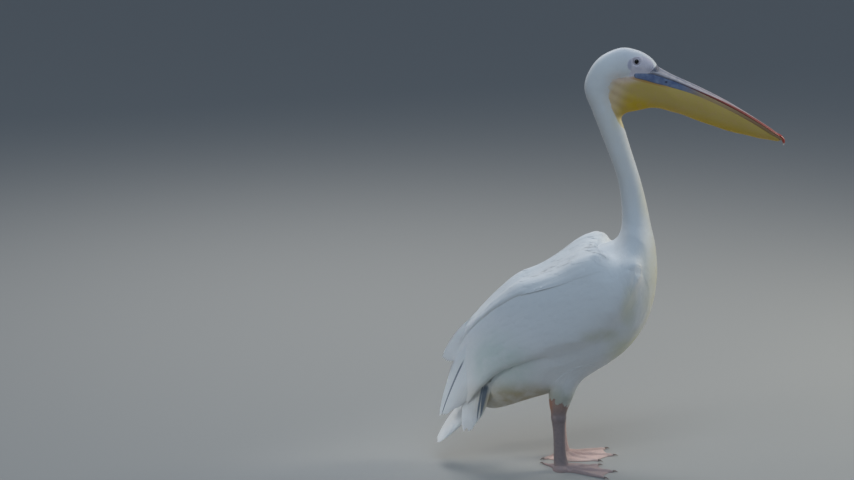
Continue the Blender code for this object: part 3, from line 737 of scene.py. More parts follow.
def lid_ring(tag):
    """Eyelids: a ring that lies on the eyeball, a little higher than long and drawn to corners;
    its round section is thickest above."""
    turn, angle = turns(72), turns(16)
    along, up = np.cos(turn), np.sin(turn)
    corner = .0005 * np.abs(along) ** 12
    reach = np.stack([(.00600 + corner) * along, .00700 * up], -1)
    away = np.linalg.norm(reach, axis=-1)
    tube = .00085 + .00035 * np.maximum(up, 0)
    ball = np.sqrt(np.maximum((EYE_RADIUS + .0003) ** 2 - away**2, 0))
    out = reach / away[:, None]
    grown = reach[:, None] + out[:, None] * (tube[:, None] * np.cos(angle))[..., None]
    y = SIDES[tag] * (EYE_AT[1] + ball[:, None] + tube[:, None] * np.sin(angle))
    places = np.stack([EYE_AT[0] + CENTRE_X + grown[..., 0], y, EYE_AT[2] + grown[..., 1]], -1)
    return ring_mesh(places, WINDOWS["lid", tag])


def body_skin():
    """The body's table of places, drawn in by the coat's depth, close-set on the face."""
    t = stations(
        (0, 8, 40), (8, 13, 46), (13, 17.8, 62), (17.8, 20.6, 96), (20.6, 22, 22), (22, len(BODY) - 1, 74),
    )
    half = stations((0, .48, 7), (.48, 1.26, 46), (1.26, math.pi, 37))
    angle = np.concatenate([half, 2 * math.pi - half[-2:0:-1]])
    places = body_places(t, angle)
    round_ = np.roll(places, -1, 1) - np.roll(places, 1, 1)
    normal = outer_normals(places, round_, np.gradient(places, axis=0))
    bare = nearly_bare(places[..., 0], places[..., 2]) * smooth(t, *HEAD_FROM)[:, None]
    places = places - normal * (read_off(COAT, t)[:, None] * (1 - bare))[..., None]
    flat = eye_relief(face_relief(places.reshape(-1, 3), normal.reshape(-1, 3)))
    return tube_mesh(flat.reshape(places.shape), WINDOWS["body"])


def wing_flesh(tag):
    """The wing's blade, thinner and shorter by the coat's depth, and pushed in to the trunk."""
    rows = np.array(WING)
    drawn = unit(rows[:, 0:3] - rows[:, 3:6]) * WING_COAT * 1.2
    rows[:, 0:6] += np.concatenate([-drawn, drawn], 1)
    rows[:, 6] = np.maximum(rows[:, 6] - WING_COAT, .002)
    rows = rows[1:9]
    angle = turns(26)
    places = blade_places(rows, np.linspace(0, len(rows) - 1, 26), angle)
    places[..., 1] -= .030 * smooth(-np.sin(angle), 0.1, 1.0)
    made = tube_mesh(places, WINDOWS["wing", tag])
    return made if tag == "L" else mirrored(made)


def over_wing(wing, t, share, lift):
    """Places at a share of the way from the wing's ridge down to the mantle's edge: 4 mm under
    the wing's surface at the front, rising to the lift over it."""
    u = read_off(MANTLE_EDGE, t) * share
    rise = smooth(t, .8 + 3.4 * share, 2.6 + 3.8 * share)[:, None]
    stand = lift * rise - .004 * (1 - rise)
    return wing.mix(wing.places, t, u) + unit(wing.mix(wing.normal, t, u)) * stand


def mantle_rows():
    """Control points of the mantle, a row for each station and twelve places round each row:
    from the middle of the back over the wing's ridge and down its side to the mantle's edge,
    then back inside the body, with the other side mirrored."""
    wing = wing_sheet(120, 96)
    t = np.array(MANTLE_STATIONS)
    ridge, half_way, brink = (over_wing(wing, t, *place) for place in ((0, .0035), (.5, .0035), (1, .0022)))
    spine = spline(list(BODY.values()), np.linspace(0, 8, 200))[:, :2]
    back_x = ridge[:, 0] - CENTRE_X - .012 - .034 * fade(t, 1.0, 4.2)
    back_z = np.interp(back_x, spine[:, 0], spine[:, 1])
    back_z = back_z + (ridge[:, 2] - back_z) * read_off(MANTLE_FILL, t)
    back = np.stack([back_x + CENTRE_X, 0 * t, back_z], 1)
    dip = (back + ridge) / 2 - (ridge - back) * [0, 0, .10]
    rows = np.stack([back, dip, ridge, half_way, brink], 1)
    rows = np.concatenate([np.array(COLLAR).reshape(2, 5, 3) + [CENTRE_X, 0, 0], rows])
    inner = rows[:, 4] * [1, .55, 1] + [-.01, 0, -.030]
    under = rows[:, 0] + [.02, 0, -.075]
    inner[0], under[0] = (.072, .012, .640), (.066, 0, .655)
    ring = np.concatenate([rows, inner[:, None], under[:, None]], 1)
    return np.concatenate([ring, ring[:, 5:0:-1] * MIRROR], 1)


def mantle_places(t, angle):
    """Smooth closed surface through the mantle's control points: a Catmull-Rom curve along the
    body through each place, then one round each section."""
    rows = mantle_rows()
    count = rows.shape[1]
    along = spline(rows.reshape(len(rows), -1), t).reshape(len(t), count, 3)
    ring = np.moveaxis(np.concatenate([along[:, -2:], along, along[:, :3]], 1), 1, 0)
    u = angle / (2 * math.pi) * count + 2
    places = spline(ring.reshape(len(ring), -1), u).reshape(len(angle), len(t), 3)
    return np.moveaxis(places, 0, 1)


def mantle_flesh(mantle):
    """The mantle's surface, drawn in by the coat's depth."""
    places = mantle.places - mantle.normal * WING_COAT
    return tube_mesh(places[::3, ::3], WINDOWS["mantle"])


def on_side(tag, places):
    """A left leg's places moved out to the leg of a side."""
    places[..., 1] = SIDES[tag] * (LEG_Y[tag] + places[..., 1])
    return places


def leg_skin(tag):
    """Thigh and shank as one tube: the thigh drawn in by the coat, the shank swollen at its joint
    and set with low scales, the root of a sine along the leg times that of one round it, moved
    round by half in every other row."""
    angle = turns(44)
    places = leg_places(stations((0, 3.4, 18), (3.4, len(LEG) - 1, 112)), angle)
    x, z = places[..., 0], places[..., 2]
    drawn = THIGH_COAT * (1 - leg_share(x, z))
    scale_row = z / .0034
    around = angle[None, :] / (2 * math.pi) * 22 + 0.5 * (np.floor(scale_row) % 2)
    scale = np.abs(np.sin(math.pi * scale_row)) ** .5 * np.abs(np.sin(math.pi * around)) ** .5
    raised = .00045 * (scale - .6) * leg_share(x, z) * smooth(z, .010, .020)
    knuckle = .0010 * np.exp(-(((z - .139) / .007) ** 2)) * np.abs(np.sin(angle))[None, :]
    out = unit(places - places.mean(1, keepdims=True))
    places = places + out * (raised + knuckle - drawn)[..., None]
    return tube_mesh(on_side(tag, places), WINDOWS["leg", tag])


def foot_reach(degrees):
    """Reach of the foot at each angle and the toe-to-toe share: straight-line lengths between
    neighbouring toes, scooped between them, with a lobe 5 mm to each side of each toe."""
    angles, lengths, _ = np.array(sorted(TOES.values())).T
    k = np.clip(np.searchsorted(angles, degrees, side="right") - 1, 0, len(angles) - 2)
    gap = angles[k + 1] - angles[k]
    f = np.clip((degrees - angles[k]) / gap, 0, 1)
    scoop = np.where(gap > 60, .34, .055)
    length = lengths[k] + (lengths[k + 1] - lengths[k]) * f
    from_toe = np.minimum(degrees - angles[k], angles[k + 1] - degrees).clip(0, 90)
    lateral = length * np.sin(np.radians(from_toe))
    web = (length - TOE_LOBE) * (1 - scoop * np.sin(math.pi * f) ** .8)
    return web + TOE_LOBE * np.exp(-((lateral / .0052) ** 4))


def foot_skin(tag):
    """Webbed foot as a table over (ring, angle).

    The outline is the toes' reach, closed by a round heel.  The top stands one web's thickness
    up; each toe is a ridge whose height falls along it and across it as exp(-(d / 5 mm)^2),
    swollen at its joints, and all rise together towards the shank.
    """
    toes = sorted(TOES.values())
    hallux, outer = toes[0], toes[-1]
    webs = [(a[0], b[0], 44 if b[0] - a[0] > 60 else 30) for a, b in zip(toes, toes[1:])]
    fan = np.concatenate([np.linspace(*web, endpoint=False) for web in webs] + [[outer[0]]])
    first, last = outer[0], 360 + hallux[0]
    heel = np.linspace(first, last, 40)[1:-1]
    swing = smooth(heel, first, first + 26) * fade(heel, last - 26, last)
    ends = np.where(heel < 120, outer[1] * .30, hallux[1] * .52)
    reach = np.concatenate([foot_reach(fan), HEEL * swing + ends * (1 - swing)])
    angle = np.radians(np.concatenate([fan, heel]))
    shares = np.concatenate([np.linspace(0, .82, 20), [.88, .93, .965, .985, 1.0]])
    radius = FOOT_HUB + (reach[None, :] - FOOT_HUB) * shares[:, None]
    x, y = radius * np.cos(angle), radius * np.sin(angle)
    top = WEB_THICK + 0 * x
    for toe_angle, length, ridge in toes:
        a = math.radians(toe_angle)
        along = x * math.cos(a) + y * math.sin(a)
        lateral = -x * math.sin(a) + y * math.cos(a)
        share = np.clip(along / length, 0, 1)
        joints = np.cos(share * 3.5 * 2 * math.pi)
        width = .0050 + .0008 * joints
        height = ridge * (1 - .62 * share) * (1 + .16 * joints) * (1 - smooth(share, .93, 1.02) * .7)
        bump = height * np.exp(-((lateral / width) ** 2)) * smooth(along, -.002, .010)
        top = np.maximum(top, WEB_THICK * .6 + bump)
    folds = .00035 * np.sin(np.degrees(angle) * 1.1 + 40 * radius) * smooth(radius, .03, .06)
    top = top + np.where(top < WEB_THICK * 1.2, folds, 0)
    rise = (FOOT_TOP + .006) * np.exp(-((radius / .0245) ** 2.6))
    top = np.hypot(top, rise) * (1 - smooth(shares, .96, 1.0)[:, None] * .62)
    above = np.stack([x, y, top], -1)
    rim = above[-1] * [1, 1, 0] + [0, 0, .0006]
    below = above[-1] * [.992, .992, 0]
    places = np.concatenate([above, rim[None], below[None], above[8:9] * [1, 1, 0]])
    places[..., 0] += FOOT_X + CENTRE_X
    return tube_mesh(on_side(tag, places), WINDOWS["foot", tag])


def united(name, parts):
    """One closed mesh from overlapping closed ones, by Boolean unions of the first with the
    rest; UVs are carried over."""
    objects = [new_object("part", verts, faces, {"OFBake": uv}) for verts, faces, uv in parts]
    for other in objects[1:]:
        union = objects[0].modifiers.new("union", "BOOLEAN")
        union.operation = "UNION"
        union.solver = "MANIFOLD"
        union.object = other
    mesh = evaluated(objects[0])
    mesh.name = name
    for obj in objects:
        bpy.data.objects.remove(obj)
    return mesh


def skin(mantle):
    """Everything of flesh in one closed mesh, with the shares of its regions on its points."""
    parts = [body_skin(), mantle_flesh(mantle)]
    parts += [wing_flesh(tag) for tag in SIDES] + [lid_ring(tag) for tag in SIDES]
    for tag in SIDES:
        parts += [leg_skin(tag), foot_skin(tag)]
    mesh = united("skin", parts)
    x, _, z = read(mesh.vertices, "co", 3).T
    front = z > .85
    eye = np.hypot(x - CENTRE_X - EYE_AT[0], z - EYE_AT[2])
    keep_values(mesh, {
        "face": np.where(front, face_share(x, z), 0),
        "pouch": np.where(front, pouch_share(x, z), 0),
        "brow": np.where(front, brow_share(x, z), 0),
        "leg": leg_share(x, z),
        "lid": fade(eye, .0080, .0094) * front,
    })
    mesh.shade_smooth()
    nodes = ["trunk", "neck_lower", "neck_middle", "neck_upper", "head", "pouch"]
    nodes += [f"{flesh}_{tag}" for tag in SIDES for flesh in ("wing", "thigh", "shank", "foot")]
    return finished(linked("skin", mesh), "plumage", skin_material(), *nodes)


# ---------------------------------------------------------------- bill, nail, eyes and claws
def root_swell(x):
    """How much wider the bill is at its root than its table, where it clasps the face."""
    return .0045 * fade(x, .100, .165)


def upper_jaw():
    """Blade with a raised ridge along its middle: each section is one profile, scaled to the
    half width and to the height from the edge to the ridge, with fine lengthwise cords."""
    rows = BILL_ROOT + BILL
    t = np.linspace(0, len(rows) - 1, 210)
    row = spline(rows, t)
    section = np.array((
        (0, 1.0), (.13, .975), (.25, .90), (.34, .74), (.42, .64), (.56, .60), (.72, .55),
        (.86, .46), (.95, .34), (1.0, .20), (1.0, .07), (.97, -.02), (.88, -.03), (.5, .05), (0, .08),
    ))
    half = spline(section, np.linspace(0, len(section) - 1, 44))
    profile = np.concatenate([half, half[-2:0:-1] * [-1, 1]])
    cords = .00016 * np.sin(np.linspace(0, 2 * math.pi * 15, len(profile)))
    places = grid(
        CENTRE_X + row[:, 0:1],
        (row[:, 3:4] + root_swell(row[:, 0:1])) * profile[:, 0],
        row[:, 1:2] + (row[:, 2:3] - row[:, 1:2]) * profile[:, 1] + cords,
    )
    grow = smooth(row[:, 0:1], .18, .40)
    edge = 1 - smooth(profile[None, :, 1], .16 + .62 * grow, .30 + .85 * grow)
    edge = np.concatenate([edge.ravel(), [0, 1]])
    horn = horn_material("Upper jaw horn", UPPER_HORN)
    tube_piece("upper_jaw", places, "horn_grey", horn, "bill_upper", edge=edge)


def lower_jaw():
    """Hairpin of two thin rami that meet at the tip: an upright superellipse of power 3 carried
    down one side, round the tip and up the other."""
    rows = JAW_ROOT + BILL
    t = np.linspace(0, len(rows) - 1, 150)
    row = spline(rows, t)
    thick = JAW_THICK * (1 - .35 * smooth(row[:, 0], .36, .418))
    blunt = np.sqrt(1 - (1 - np.clip((t + .004) / .22, 0, 1)) ** 2)
    centre_y = row[:, 3] + root_swell(row[:, 0]) - thick / 2
    high = row[:, 1] - .0004
    low = row[:, 4]
    tall = (high - low) / 2 * blunt
    middle = (high + low) / 2
    turn = np.linspace(0, math.pi / 2, 10)[1:]
    tip_y = centre_y[-1]
    left = np.stack([row[:, 0], centre_y, middle, tall, thick / 2 * np.minimum(blunt * 1.2, 1)], 1)
    arc = np.stack([
        row[-1, 0] + .0030 * np.sin(turn), tip_y * np.cos(turn), middle[-1] - .0006 * np.sin(turn),
        tall[-1] + 0 * turn, thick[-1] / 2 + 0 * turn,
    ], 1)
    path = np.concatenate([left, arc])
    path = np.concatenate([path, path[-2::-1] * [1, -1, 1, 1, 1]])
    travel = unit(np.gradient(path[:, :2], axis=0))
    up, side = superellipse(turns(26), 3.0)
    places = grid(
        CENTRE_X + path[:, 0:1] + travel[:, 1:2] * path[:, 4:5] * side,
        path[:, 1:2] - travel[:, 0:1] * path[:, 4:5] * side,
        path[:, 2:3] + path[:, 3:4] * up,
    )
    ahead = (path[:, 0:1] - rows[0][0]) + 0 * up
    rim = smooth(np.abs(up), .70, .92) * fade(ahead, .035, .110)
    rim = np.maximum(rim, 1 - smooth(np.abs(ahead), .0018, .0042))
    rim = np.maximum(rim, smooth(up, .72, .9) * fade(ahead, .09, .20))
    rim = np.concatenate([rim.ravel(), [1, 1]])
    horn = horn_material("Lower jaw horn", LOWER_HORN)
    tube_piece("lower_jaw", places, "horn_blue", horn, "bill_lower", rim=rim)


def nail():
    """Hook over the bill's tip: ovals carried along a curve that turns down to a point."""
    t = np.linspace(0, len(NAIL) - 1, 48)
    row = spline(NAIL, t)
    travel = unit(np.gradient(row[:, 0:2], axis=0))
    up, side = superellipse(turns(28))
    places = grid(
        CENTRE_X + row[:, 0:1] - travel[:, 1:2] * row[:, 2:3] * up,
        row[:, 3:4] * side,
        row[:, 1:2] + travel[:, 0:1] * row[:, 2:3] * up,
    )
    tube_piece("nail", places, "nail_red", horn_material("Nail horn", NAIL_HORN), "bill_nail")


def eyes():
    """Eyeballs: spheres whose poles face sideways, with the cornea swollen by 3.5 % in front."""
    fall, around = np.linspace(.02, math.pi - .02, 40), turns(48)
    radius = EYE_RADIUS * (1 + .035 * fade(fall, .25, .75))
    reach, away = (radius * np.sin(fall))[:, None], (radius * np.cos(fall))[:, None]
    from_axis = np.concatenate([np.repeat(fall, len(around)), [0, math.pi]])
    for tag, side in SIDES.items():
        centre = np.array([EYE_AT[0] + CENTRE_X, side * EYE_AT[1], EYE_AT[2]])
        places = centre + grid(reach * np.cos(around), side * away, reach * np.sin(around))
        tube_piece(f"eyeball_{tag}", places, "eye", eye_material(), f"eye_{tag}", off_axis=from_axis)


def claws():
    """Curved cones past each toe tip: round sections whose radius falls as (1 - s)^0.7."""
    for tag, side in SIDES.items():
        parts = []
        for degrees, length, _ in TOES.values():
            a = side * math.radians(degrees)
            ahead = np.array([math.cos(a), math.sin(a), 0.0])
            across = np.array([-math.sin(a), math.cos(a), 0.0])
            start = np.array([FOOT_X + CENTRE_X, side * LEG_Y[tag], 0.0]) + ahead * (length - .003)
            s = np.linspace(0, 1, 18)[:, None]
            angle = turns(14)
            radius = .0027 * (1 - s) ** .7 + .0002
            height = .0036 - .0030 * s**2 + .0010 * np.sin(math.pi * s)
            middle = start + ahead * (CLAW_LENGTH + .003) * s + [0, 0, 1] * height
            places = middle[:, None] + across * (radius * np.sin(angle) * .8)[..., None]
            places = places + np.array([0, 0, 1]) * (radius * np.cos(angle))[..., None]
            places[..., 2] = np.maximum(places[..., 2], .0001)
            parts.append(tube_mesh(places))
        verts, faces, uv = joined(parts)
        made = new_object(f"claws_{tag}", verts, faces, {"Along": uv})
        nodes = [f"claw_{toe}_{tag}" for toe in TOES]
        finished(made, "claw_horn", horn_material("Claw horn", CLAW_HORN), *nodes)


# ---------------------------------------------------------------- vanes
# Shares of a vane's length: its first and last row of points, and its widest place.
FIRST_ROW, LAST_ROW, WIDEST = .30, .965, .55


def vane_faces(rows, columns):
    """Triangles of one closed vane: a fan from the root, strips between rows, a fan to the tip,
    and an underside that joins the two edges."""
    def at(r, c):
        """Number of the point in a row and column; point 0 is the root."""
        return 1 + r * columns + c
    tip = 1 + rows * columns
    faces = []
    for c in range(columns - 1):
        faces.append((0, at(0, c), at(0, c + 1)))
        faces.append((tip, at(rows - 1, c + 1), at(rows - 1, c)))
        for r in range(rows - 1):
            faces.append((at(r, c), at(r + 1, c), at(r + 1, c + 1)))
            faces.append((at(r, c), at(r + 1, c + 1), at(r, c + 1)))
    last = columns - 1
    faces.append((0, at(0, last), at(0, 0)))
    faces.append((tip, at(rows - 1, 0), at(rows - 1, last)))
    for r in range(rows - 1):
        faces.append((at(r, 0), at(r + 1, last), at(r + 1, 0)))
        faces.append((at(r, 0), at(r, last), at(r + 1, last)))
    return np.array(faces)


def rounded_outline(v):
    """Share of the half width at share v of the length: an elliptic rise to the widest place and
    a superelliptic fall of power 2.4 to the tip."""
    rise = np.sqrt(np.clip(1 - (1 - v / WIDEST) ** 2, 0, 1))
    fall = np.sqrt(np.clip(1 - np.abs((v - WIDEST) / (1 - WIDEST)) ** 2.4, 0, 1))
    return np.where(v < WIDEST, .25 + .75 * rise, fall)


def vanes_mesh(verts, rows, columns, along, across, patch):
    """Joins vanes given as (count, points, 3): turns round those whose volume is negative and
    gives each a UV map of its own and its small patch of the bake map."""
    count, points = verts.shape[:2]
    faces = vane_faces(rows, columns)
    a, b, c = (verts[:, faces[:, k]] for k in range(3))
    centre = verts.mean(1, keepdims=True)
    volume = np.einsum("nij,nij->n", a - centre, np.cross(b - centre, c - centre))
    turned = np.where((volume > 0)[:, None, None], faces[None], faces[None, :, ::-1])
    all_faces = (turned + points * np.arange(count)[:, None, None]).reshape(-1, 3)
    local = np.stack([np.broadcast_to(across, along.shape), along], -1)
    corner = local[turned].reshape(-1, 3, 2)
    root = np.repeat(patch, faces.shape[0], axis=0)[:, None]
    bake = root + (corner - .5) * .003
    return verts.reshape(-1, 3), all_faces, corner, np.clip(bake, 0, 1)


def vane_grid(rows, columns):
    """Shares along and across for each point of one vane, with its half-width share."""
    if rows < 4:
        v = np.linspace(FIRST_ROW, LAST_ROW, rows)
    else:
        v = np.minimum(1 - (1 - FIRST_ROW) * np.linspace(1, 0, rows) ** 1.35, LAST_ROW)
    c = np.linspace(-1, 1, columns)
    along = np.concatenate([[0], np.repeat(v, columns), [1]])
    across = np.concatenate([[0], np.tile(c, rows), [0]])
    wide = np.concatenate([[0], np.repeat(rounded_outline(v), columns), [0]])
    return along, across, wide


def lay_vanes(sheet, t, u, length, width, depth, lift, camber, turn, way=-1.0,
              rows=3, columns=3, mirror=False, contour=None, rank=0.0):
    """Vanes on a sheet, one at each (t, u).

    A point at share v of the length and c across lies at (t, u) plus the step that the lie and
    its turn give, with metres changed to station and round by gt and gu.  It stands over the
    sheet by -depth fade(v / .36) + lift v + camber (1 - c^2).
    """
    along, across, wide = vane_grid(rows, columns)
    v, c = along[None], (across * wide)[None]
    length, width, turn, depth, lift, camber, rank = (
        np.broadcast_to(q, t.shape)[:, None] for q in (length, width, turn, depth, lift, camber, rank)
    )
    on, off = v * length, c * width
    go_t = way * (on * np.cos(turn) - off * np.sin(turn))
    go_u = on * np.sin(turn) + off * np.cos(turn)
    gt = sheet.mix(sheet.gt, t, u)[:, None]
    gu = np.maximum(sheet.mix(sheet.gu, t, u)[:, None], .02)
    t_at, u_at = t[:, None] + go_t / gt, u[:, None] + go_u / gu
    places = sheet.mix(sheet.places, t_at, u_at)
    normal = unit(sheet.mix(sheet.normal, t_at, u_at))
    if mirror:
        places, normal = places * MIRROR, normal * MIRROR
    if contour:
        places, normal = contour.fit(places, normal, rank)
    height = -depth * fade(v, 0, .36) + lift * v + camber * (1 - across[None] ** 2)
    verts = places + normal * height[..., None]
    span = (t - t.min()) / (t.max() - t.min() + 1e-9)
    patch = np.stack([.01 + .98 * np.mod(u, 1), .01 + .98 * span], 1)
    return vanes_mesh(verts, rows, columns, along, .5 + .5 * across * (wide > 0), patch)


def vane_piece(name, parts, material, *nodes, values=None):
    """One object from several sets of vanes."""
    verts, faces, own, bake = joined(parts)
    made = new_object(name, verts, faces, {"OFBake": bake, "Vane": own}, values, VANE_EDGE)
    return finished(made, "plumage", material, *nodes)


def curve(*knots):
    """A function that reads straight lines between (place, value) knots."""
    places, values = np.array(knots, float).T
    return lambda t: np.interp(t, places, values)


def inside(outline, x, z):
    """True where (x, z) is inside the closed outline: an odd number of its edges cross the ray
    towards +x."""
    x0, z0 = outline.T
    x1, z1 = np.roll(x0, -1), np.roll(z0, -1)
    spans = (z0 <= z[:, None]) != (z1 <= z[:, None])
    at = x0 + (z[:, None] - z0) * (x1 - x0) / np.where(z1 == z0, 1e-9, z1 - z0)
    return (np.sum(spans & (at > x[:, None]), axis=1) % 2) == 1


# Where the plumage fills the creases: centre and radii of soft patches beside the neck's base,
# along the front half of the shoulder feathers, down the wing's front edge and over the thigh,
# and how much is filled on the right and on the left side.
CREASES = (
    ((-.010, .085, .590), (.120, .070, .080), 1.0, 0),
    ((-.010, .105, .555), (.120, .052, .055), 0, 1.0),
    ((-.105, .085, .522), (.160, .065, .070), 1.0, 1.0),
    ((.050, .110, .470), (.075, .065, .105), .8, .8),
    ((.000, .115, .400), (.100, .065, .075), .9, .9),
    ((-.085, .120, .335), (.100, .060, .045), .5, .5),
    ((-.080, .080, .262), (.100, .070, .062), 1.0, 1.0),
)


def crease_share(places):
    """1 in the middle of the soft patches of CREASES, falling to 0 at their radii; the share of
    each side where they overlap is the larger one."""
    share = np.zeros(places.shape[:-1])
    folded = np.stack([places[..., 0] - CENTRE_X, np.abs(places[..., 1]), places[..., 2]], -1)
    for centre, radii, right, left in CREASES:
        off = folded - centre
        strength = np.where(places[..., 1] < 0, right, left)
        share = np.maximum(share, strength * fade(np.linalg.norm(off / radii, axis=-1), .50, 1.0))
    return share


class Contour:
    """Trunk, folded wings, shoulder feathers and thighs as one closed surface whose creases are
    filled: cells of 4.5 mm whose corners are moved, over and over, towards the mean of their
    neighbours by half the crease's share."""

    CELL = .0045
    ROUNDS = 110
    REACH = .026

    def __init__(self, parts):
        """Joins the parts into one surface of even cells and fills its creases."""
        verts, faces, _ = joined(parts)
        self.surface = new_object("contour", verts, faces)
        cells = self.surface.modifiers.new("cells", "REMESH")
        cells.mode = "VOXEL"
        cells.voxel_size = self.CELL
        mesh = evaluated(self.surface)
        self.surface.modifiers.clear()
        self.surface.data = mesh
        places = read(mesh.vertices, "co", 3)
        ends = read(mesh.edges, "vertices", 2, np.int32)
        count = np.bincount(ends.ravel(), minlength=len(places))[:, None]
        share = .5 * crease_share(places)[:, None]
        for _ in range(self.ROUNDS):
            total = np.stack([
                np.bincount(ends[:, 0], places[ends[:, 1], k], len(places))
                + np.bincount(ends[:, 1], places[ends[:, 0], k], len(places)) for k in range(3)
            ], 1)
            places = places + share * (total / count - places)
        write(mesh.vertices, "co", places)
        mesh.update()
        mesh.shade_smooth()

    def nearest(self, points, height):
        """The places of the surface nearest to the points, at a height over it."""
        mesh = bpy.data.meshes.new("probe")
        mesh.vertices.add(len(points))
        write(mesh.vertices, "co", points)
        probe = linked("probe", mesh)
        wrap = probe.modifiers.new("wrap", "SHRINKWRAP")
        wrap.target = self.surface
        wrap.wrap_method = "NEAREST_SURFACEPOINT"
        wrap.wrap_mode = "ABOVE_SURFACE"
        wrap.offset = height
        found = read(evaluated(probe).vertices, "co", 3)
        bpy.data.objects.remove(probe)
        return found

    def fit(self, points, normal, rank):
        """Points of a sheet brought out to the surface where they lie under it in a crease, and in
        by up to 6 mm where they lie over it, with their normals turned to its own; sheets
        that meet there are kept apart by the height of their rank."""
        flat, turned = points.reshape(-1, 3).copy(), normal.reshape(-1, 3).copy()
        share = crease_share(flat)
        near = share > .01
        on = self.nearest(flat[near], 0.0)
        out = unit(self.nearest(flat[near], .01) - on)
        gap = on - flat[near]
        rise = np.sum(gap * out, -1)
        far = np.linalg.norm(gap, axis=-1)
        aside = smooth(np.abs(flat[near][:, 1]), .045, .070)
        gain = np.maximum(rise, 0) + aside * np.clip(rise, -.0060, 0)
        gain = gain + np.broadcast_to(rank, points.shape[:-1]).ravel()[near]
        gain = gain * fade(far, .6 * self.REACH, self.REACH) * smooth(share[near], 0, .35)
        flat[near] += out * gain[:, None]
        turned[near] += out * (4 * smooth(np.abs(gain), 0, .002))[:, None]
        return flat.reshape(points.shape), unit(turned).reshape(points.shape)

    def done(self):
        """Takes the surface out of the scene."""
        bpy.data.objects.remove(self.surface)


def contour_parts(body, wing, mantle):
    """Closed tubes of the outer surfaces, for the contour."""
    blade = tube_mesh(wing.places[::4, ::4])
    parts = [tube_mesh(body.places[::3, ::4]), blade, mirrored(blade), tube_mesh(mantle.places[::3, ::3])]
    thigh = np.linspace(0, 6, 60), turns(48)
    return parts + [tube_mesh(on_side(tag, leg_places(*thigh))) for tag in SIDES]


def body_coat(body, wing, contour):
    """Plumage of trunk, neck and head in three pieces, left off where the skin is bare and deep
    under the folded wings."""
    step = curve(
        (0, .0128), (3, .0122), (6, .0094), (8, .0062), (10, .0042), (13, .0036), (16, .0028),
        (19, .0022), (21, .0018),
    )
    lift = curve((0, .0006), (6, .0005), (9, .0004), (14, .0003), (18, .00020), (21, .00015))
    # The wing's outline from the side, drawn in: the trunk carries no vanes under it.
    outline = np.concatenate([wing.places[:, 0], wing.places[::-1, wing.count // 2]])[:, [0, 2]]
    middle = outline.mean(0)
    outline = middle + (outline - middle) * [.86, .95]
    for name, first, last, rows, columns, seed in (
        ("coat_trunk", 0.0, 8.7, 5, 5, 11),
        ("coat_neck", 8.0, 15.0, 3, 3, 12),
        ("coat_head", 14.6, 21.2, 3, 3, 13),
    ):
        rng = np.random.default_rng(seed)
        t, u = body.lattice(step, lambda t: step(t) * .82, first, last, rng)
        place = body.mix(body.places, t, u)
        keep = np.where(t > 12, bare_share(place[:, 0], place[:, 2]) < .5, True)
        keep &= ~(inside(outline, place[:, 0], place[:, 2]) & (np.abs(place[:, 1]) > .03))
        keep &= ~((t > 18.5) & (place[:, 2] < 1.045))
        t, u = t[keep], u[keep]
        size = step(t) * rng.uniform(.88, 1.14, len(t))
        turn = rng.normal(0, .07, len(t))
        reach = np.clip(body.stretch(t, u), .7, 2.2)
        flat = 1 - .9 * nearly_bare(place[keep, 0], place[keep, 2]) * smooth(t, *HEAD_FROM)
        part = lay_vanes(
            body, t, u, size * 3.1 * reach, size * .74 * np.sqrt(reach), read_off(COAT, t) * .8 * flat,
            lift(t) * (.4 + .6 * flat) * rng.uniform(.7, 1.3, len(t)), size * .012, turn,
            rows=rows, columns=columns, contour=contour if first < 10 else None, rank=-.0004,
        )
        vane_piece(name, [part], plumage_material())


def wing_coat(wing, contour):
    """Coverts: rows from the wrist to the rear over the outer face and round both edges, growing
    from 40 to 110 mm long."""
    step = curve((0, .013), (1, .015), (3, .022), (5, .032), (7, .040), (9, .040))
    rng = np.random.default_rng(21)
    t, u = wing.lattice(step, lambda t: step(t) * .62, .80, 8.7, rng)
    keep = (u < .545) | (u > .955)
    t, u = t[keep], u[keep]
    size = step(t) * rng.uniform(.92, 1.10, len(t)) * np.clip(wing.stretch(t, u), .9, 1.8)
    for tag in SIDES:
        part = lay_vanes(
            wing, t, u, size * 2.8, size * .54, WING_COAT * .8, .0007 * rng.uniform(.7, 1.3, len(t)),
            size * .010, .05 + rng.normal(0, .04, len(t)), way=1.0, rows=9, columns=7,
            mirror=tag == "R", contour=contour, rank=curve((.8, -.0012), (1.6, 0))(t),
        )
        vane_piece(f"coverts_{tag}", [part], plumage_material())


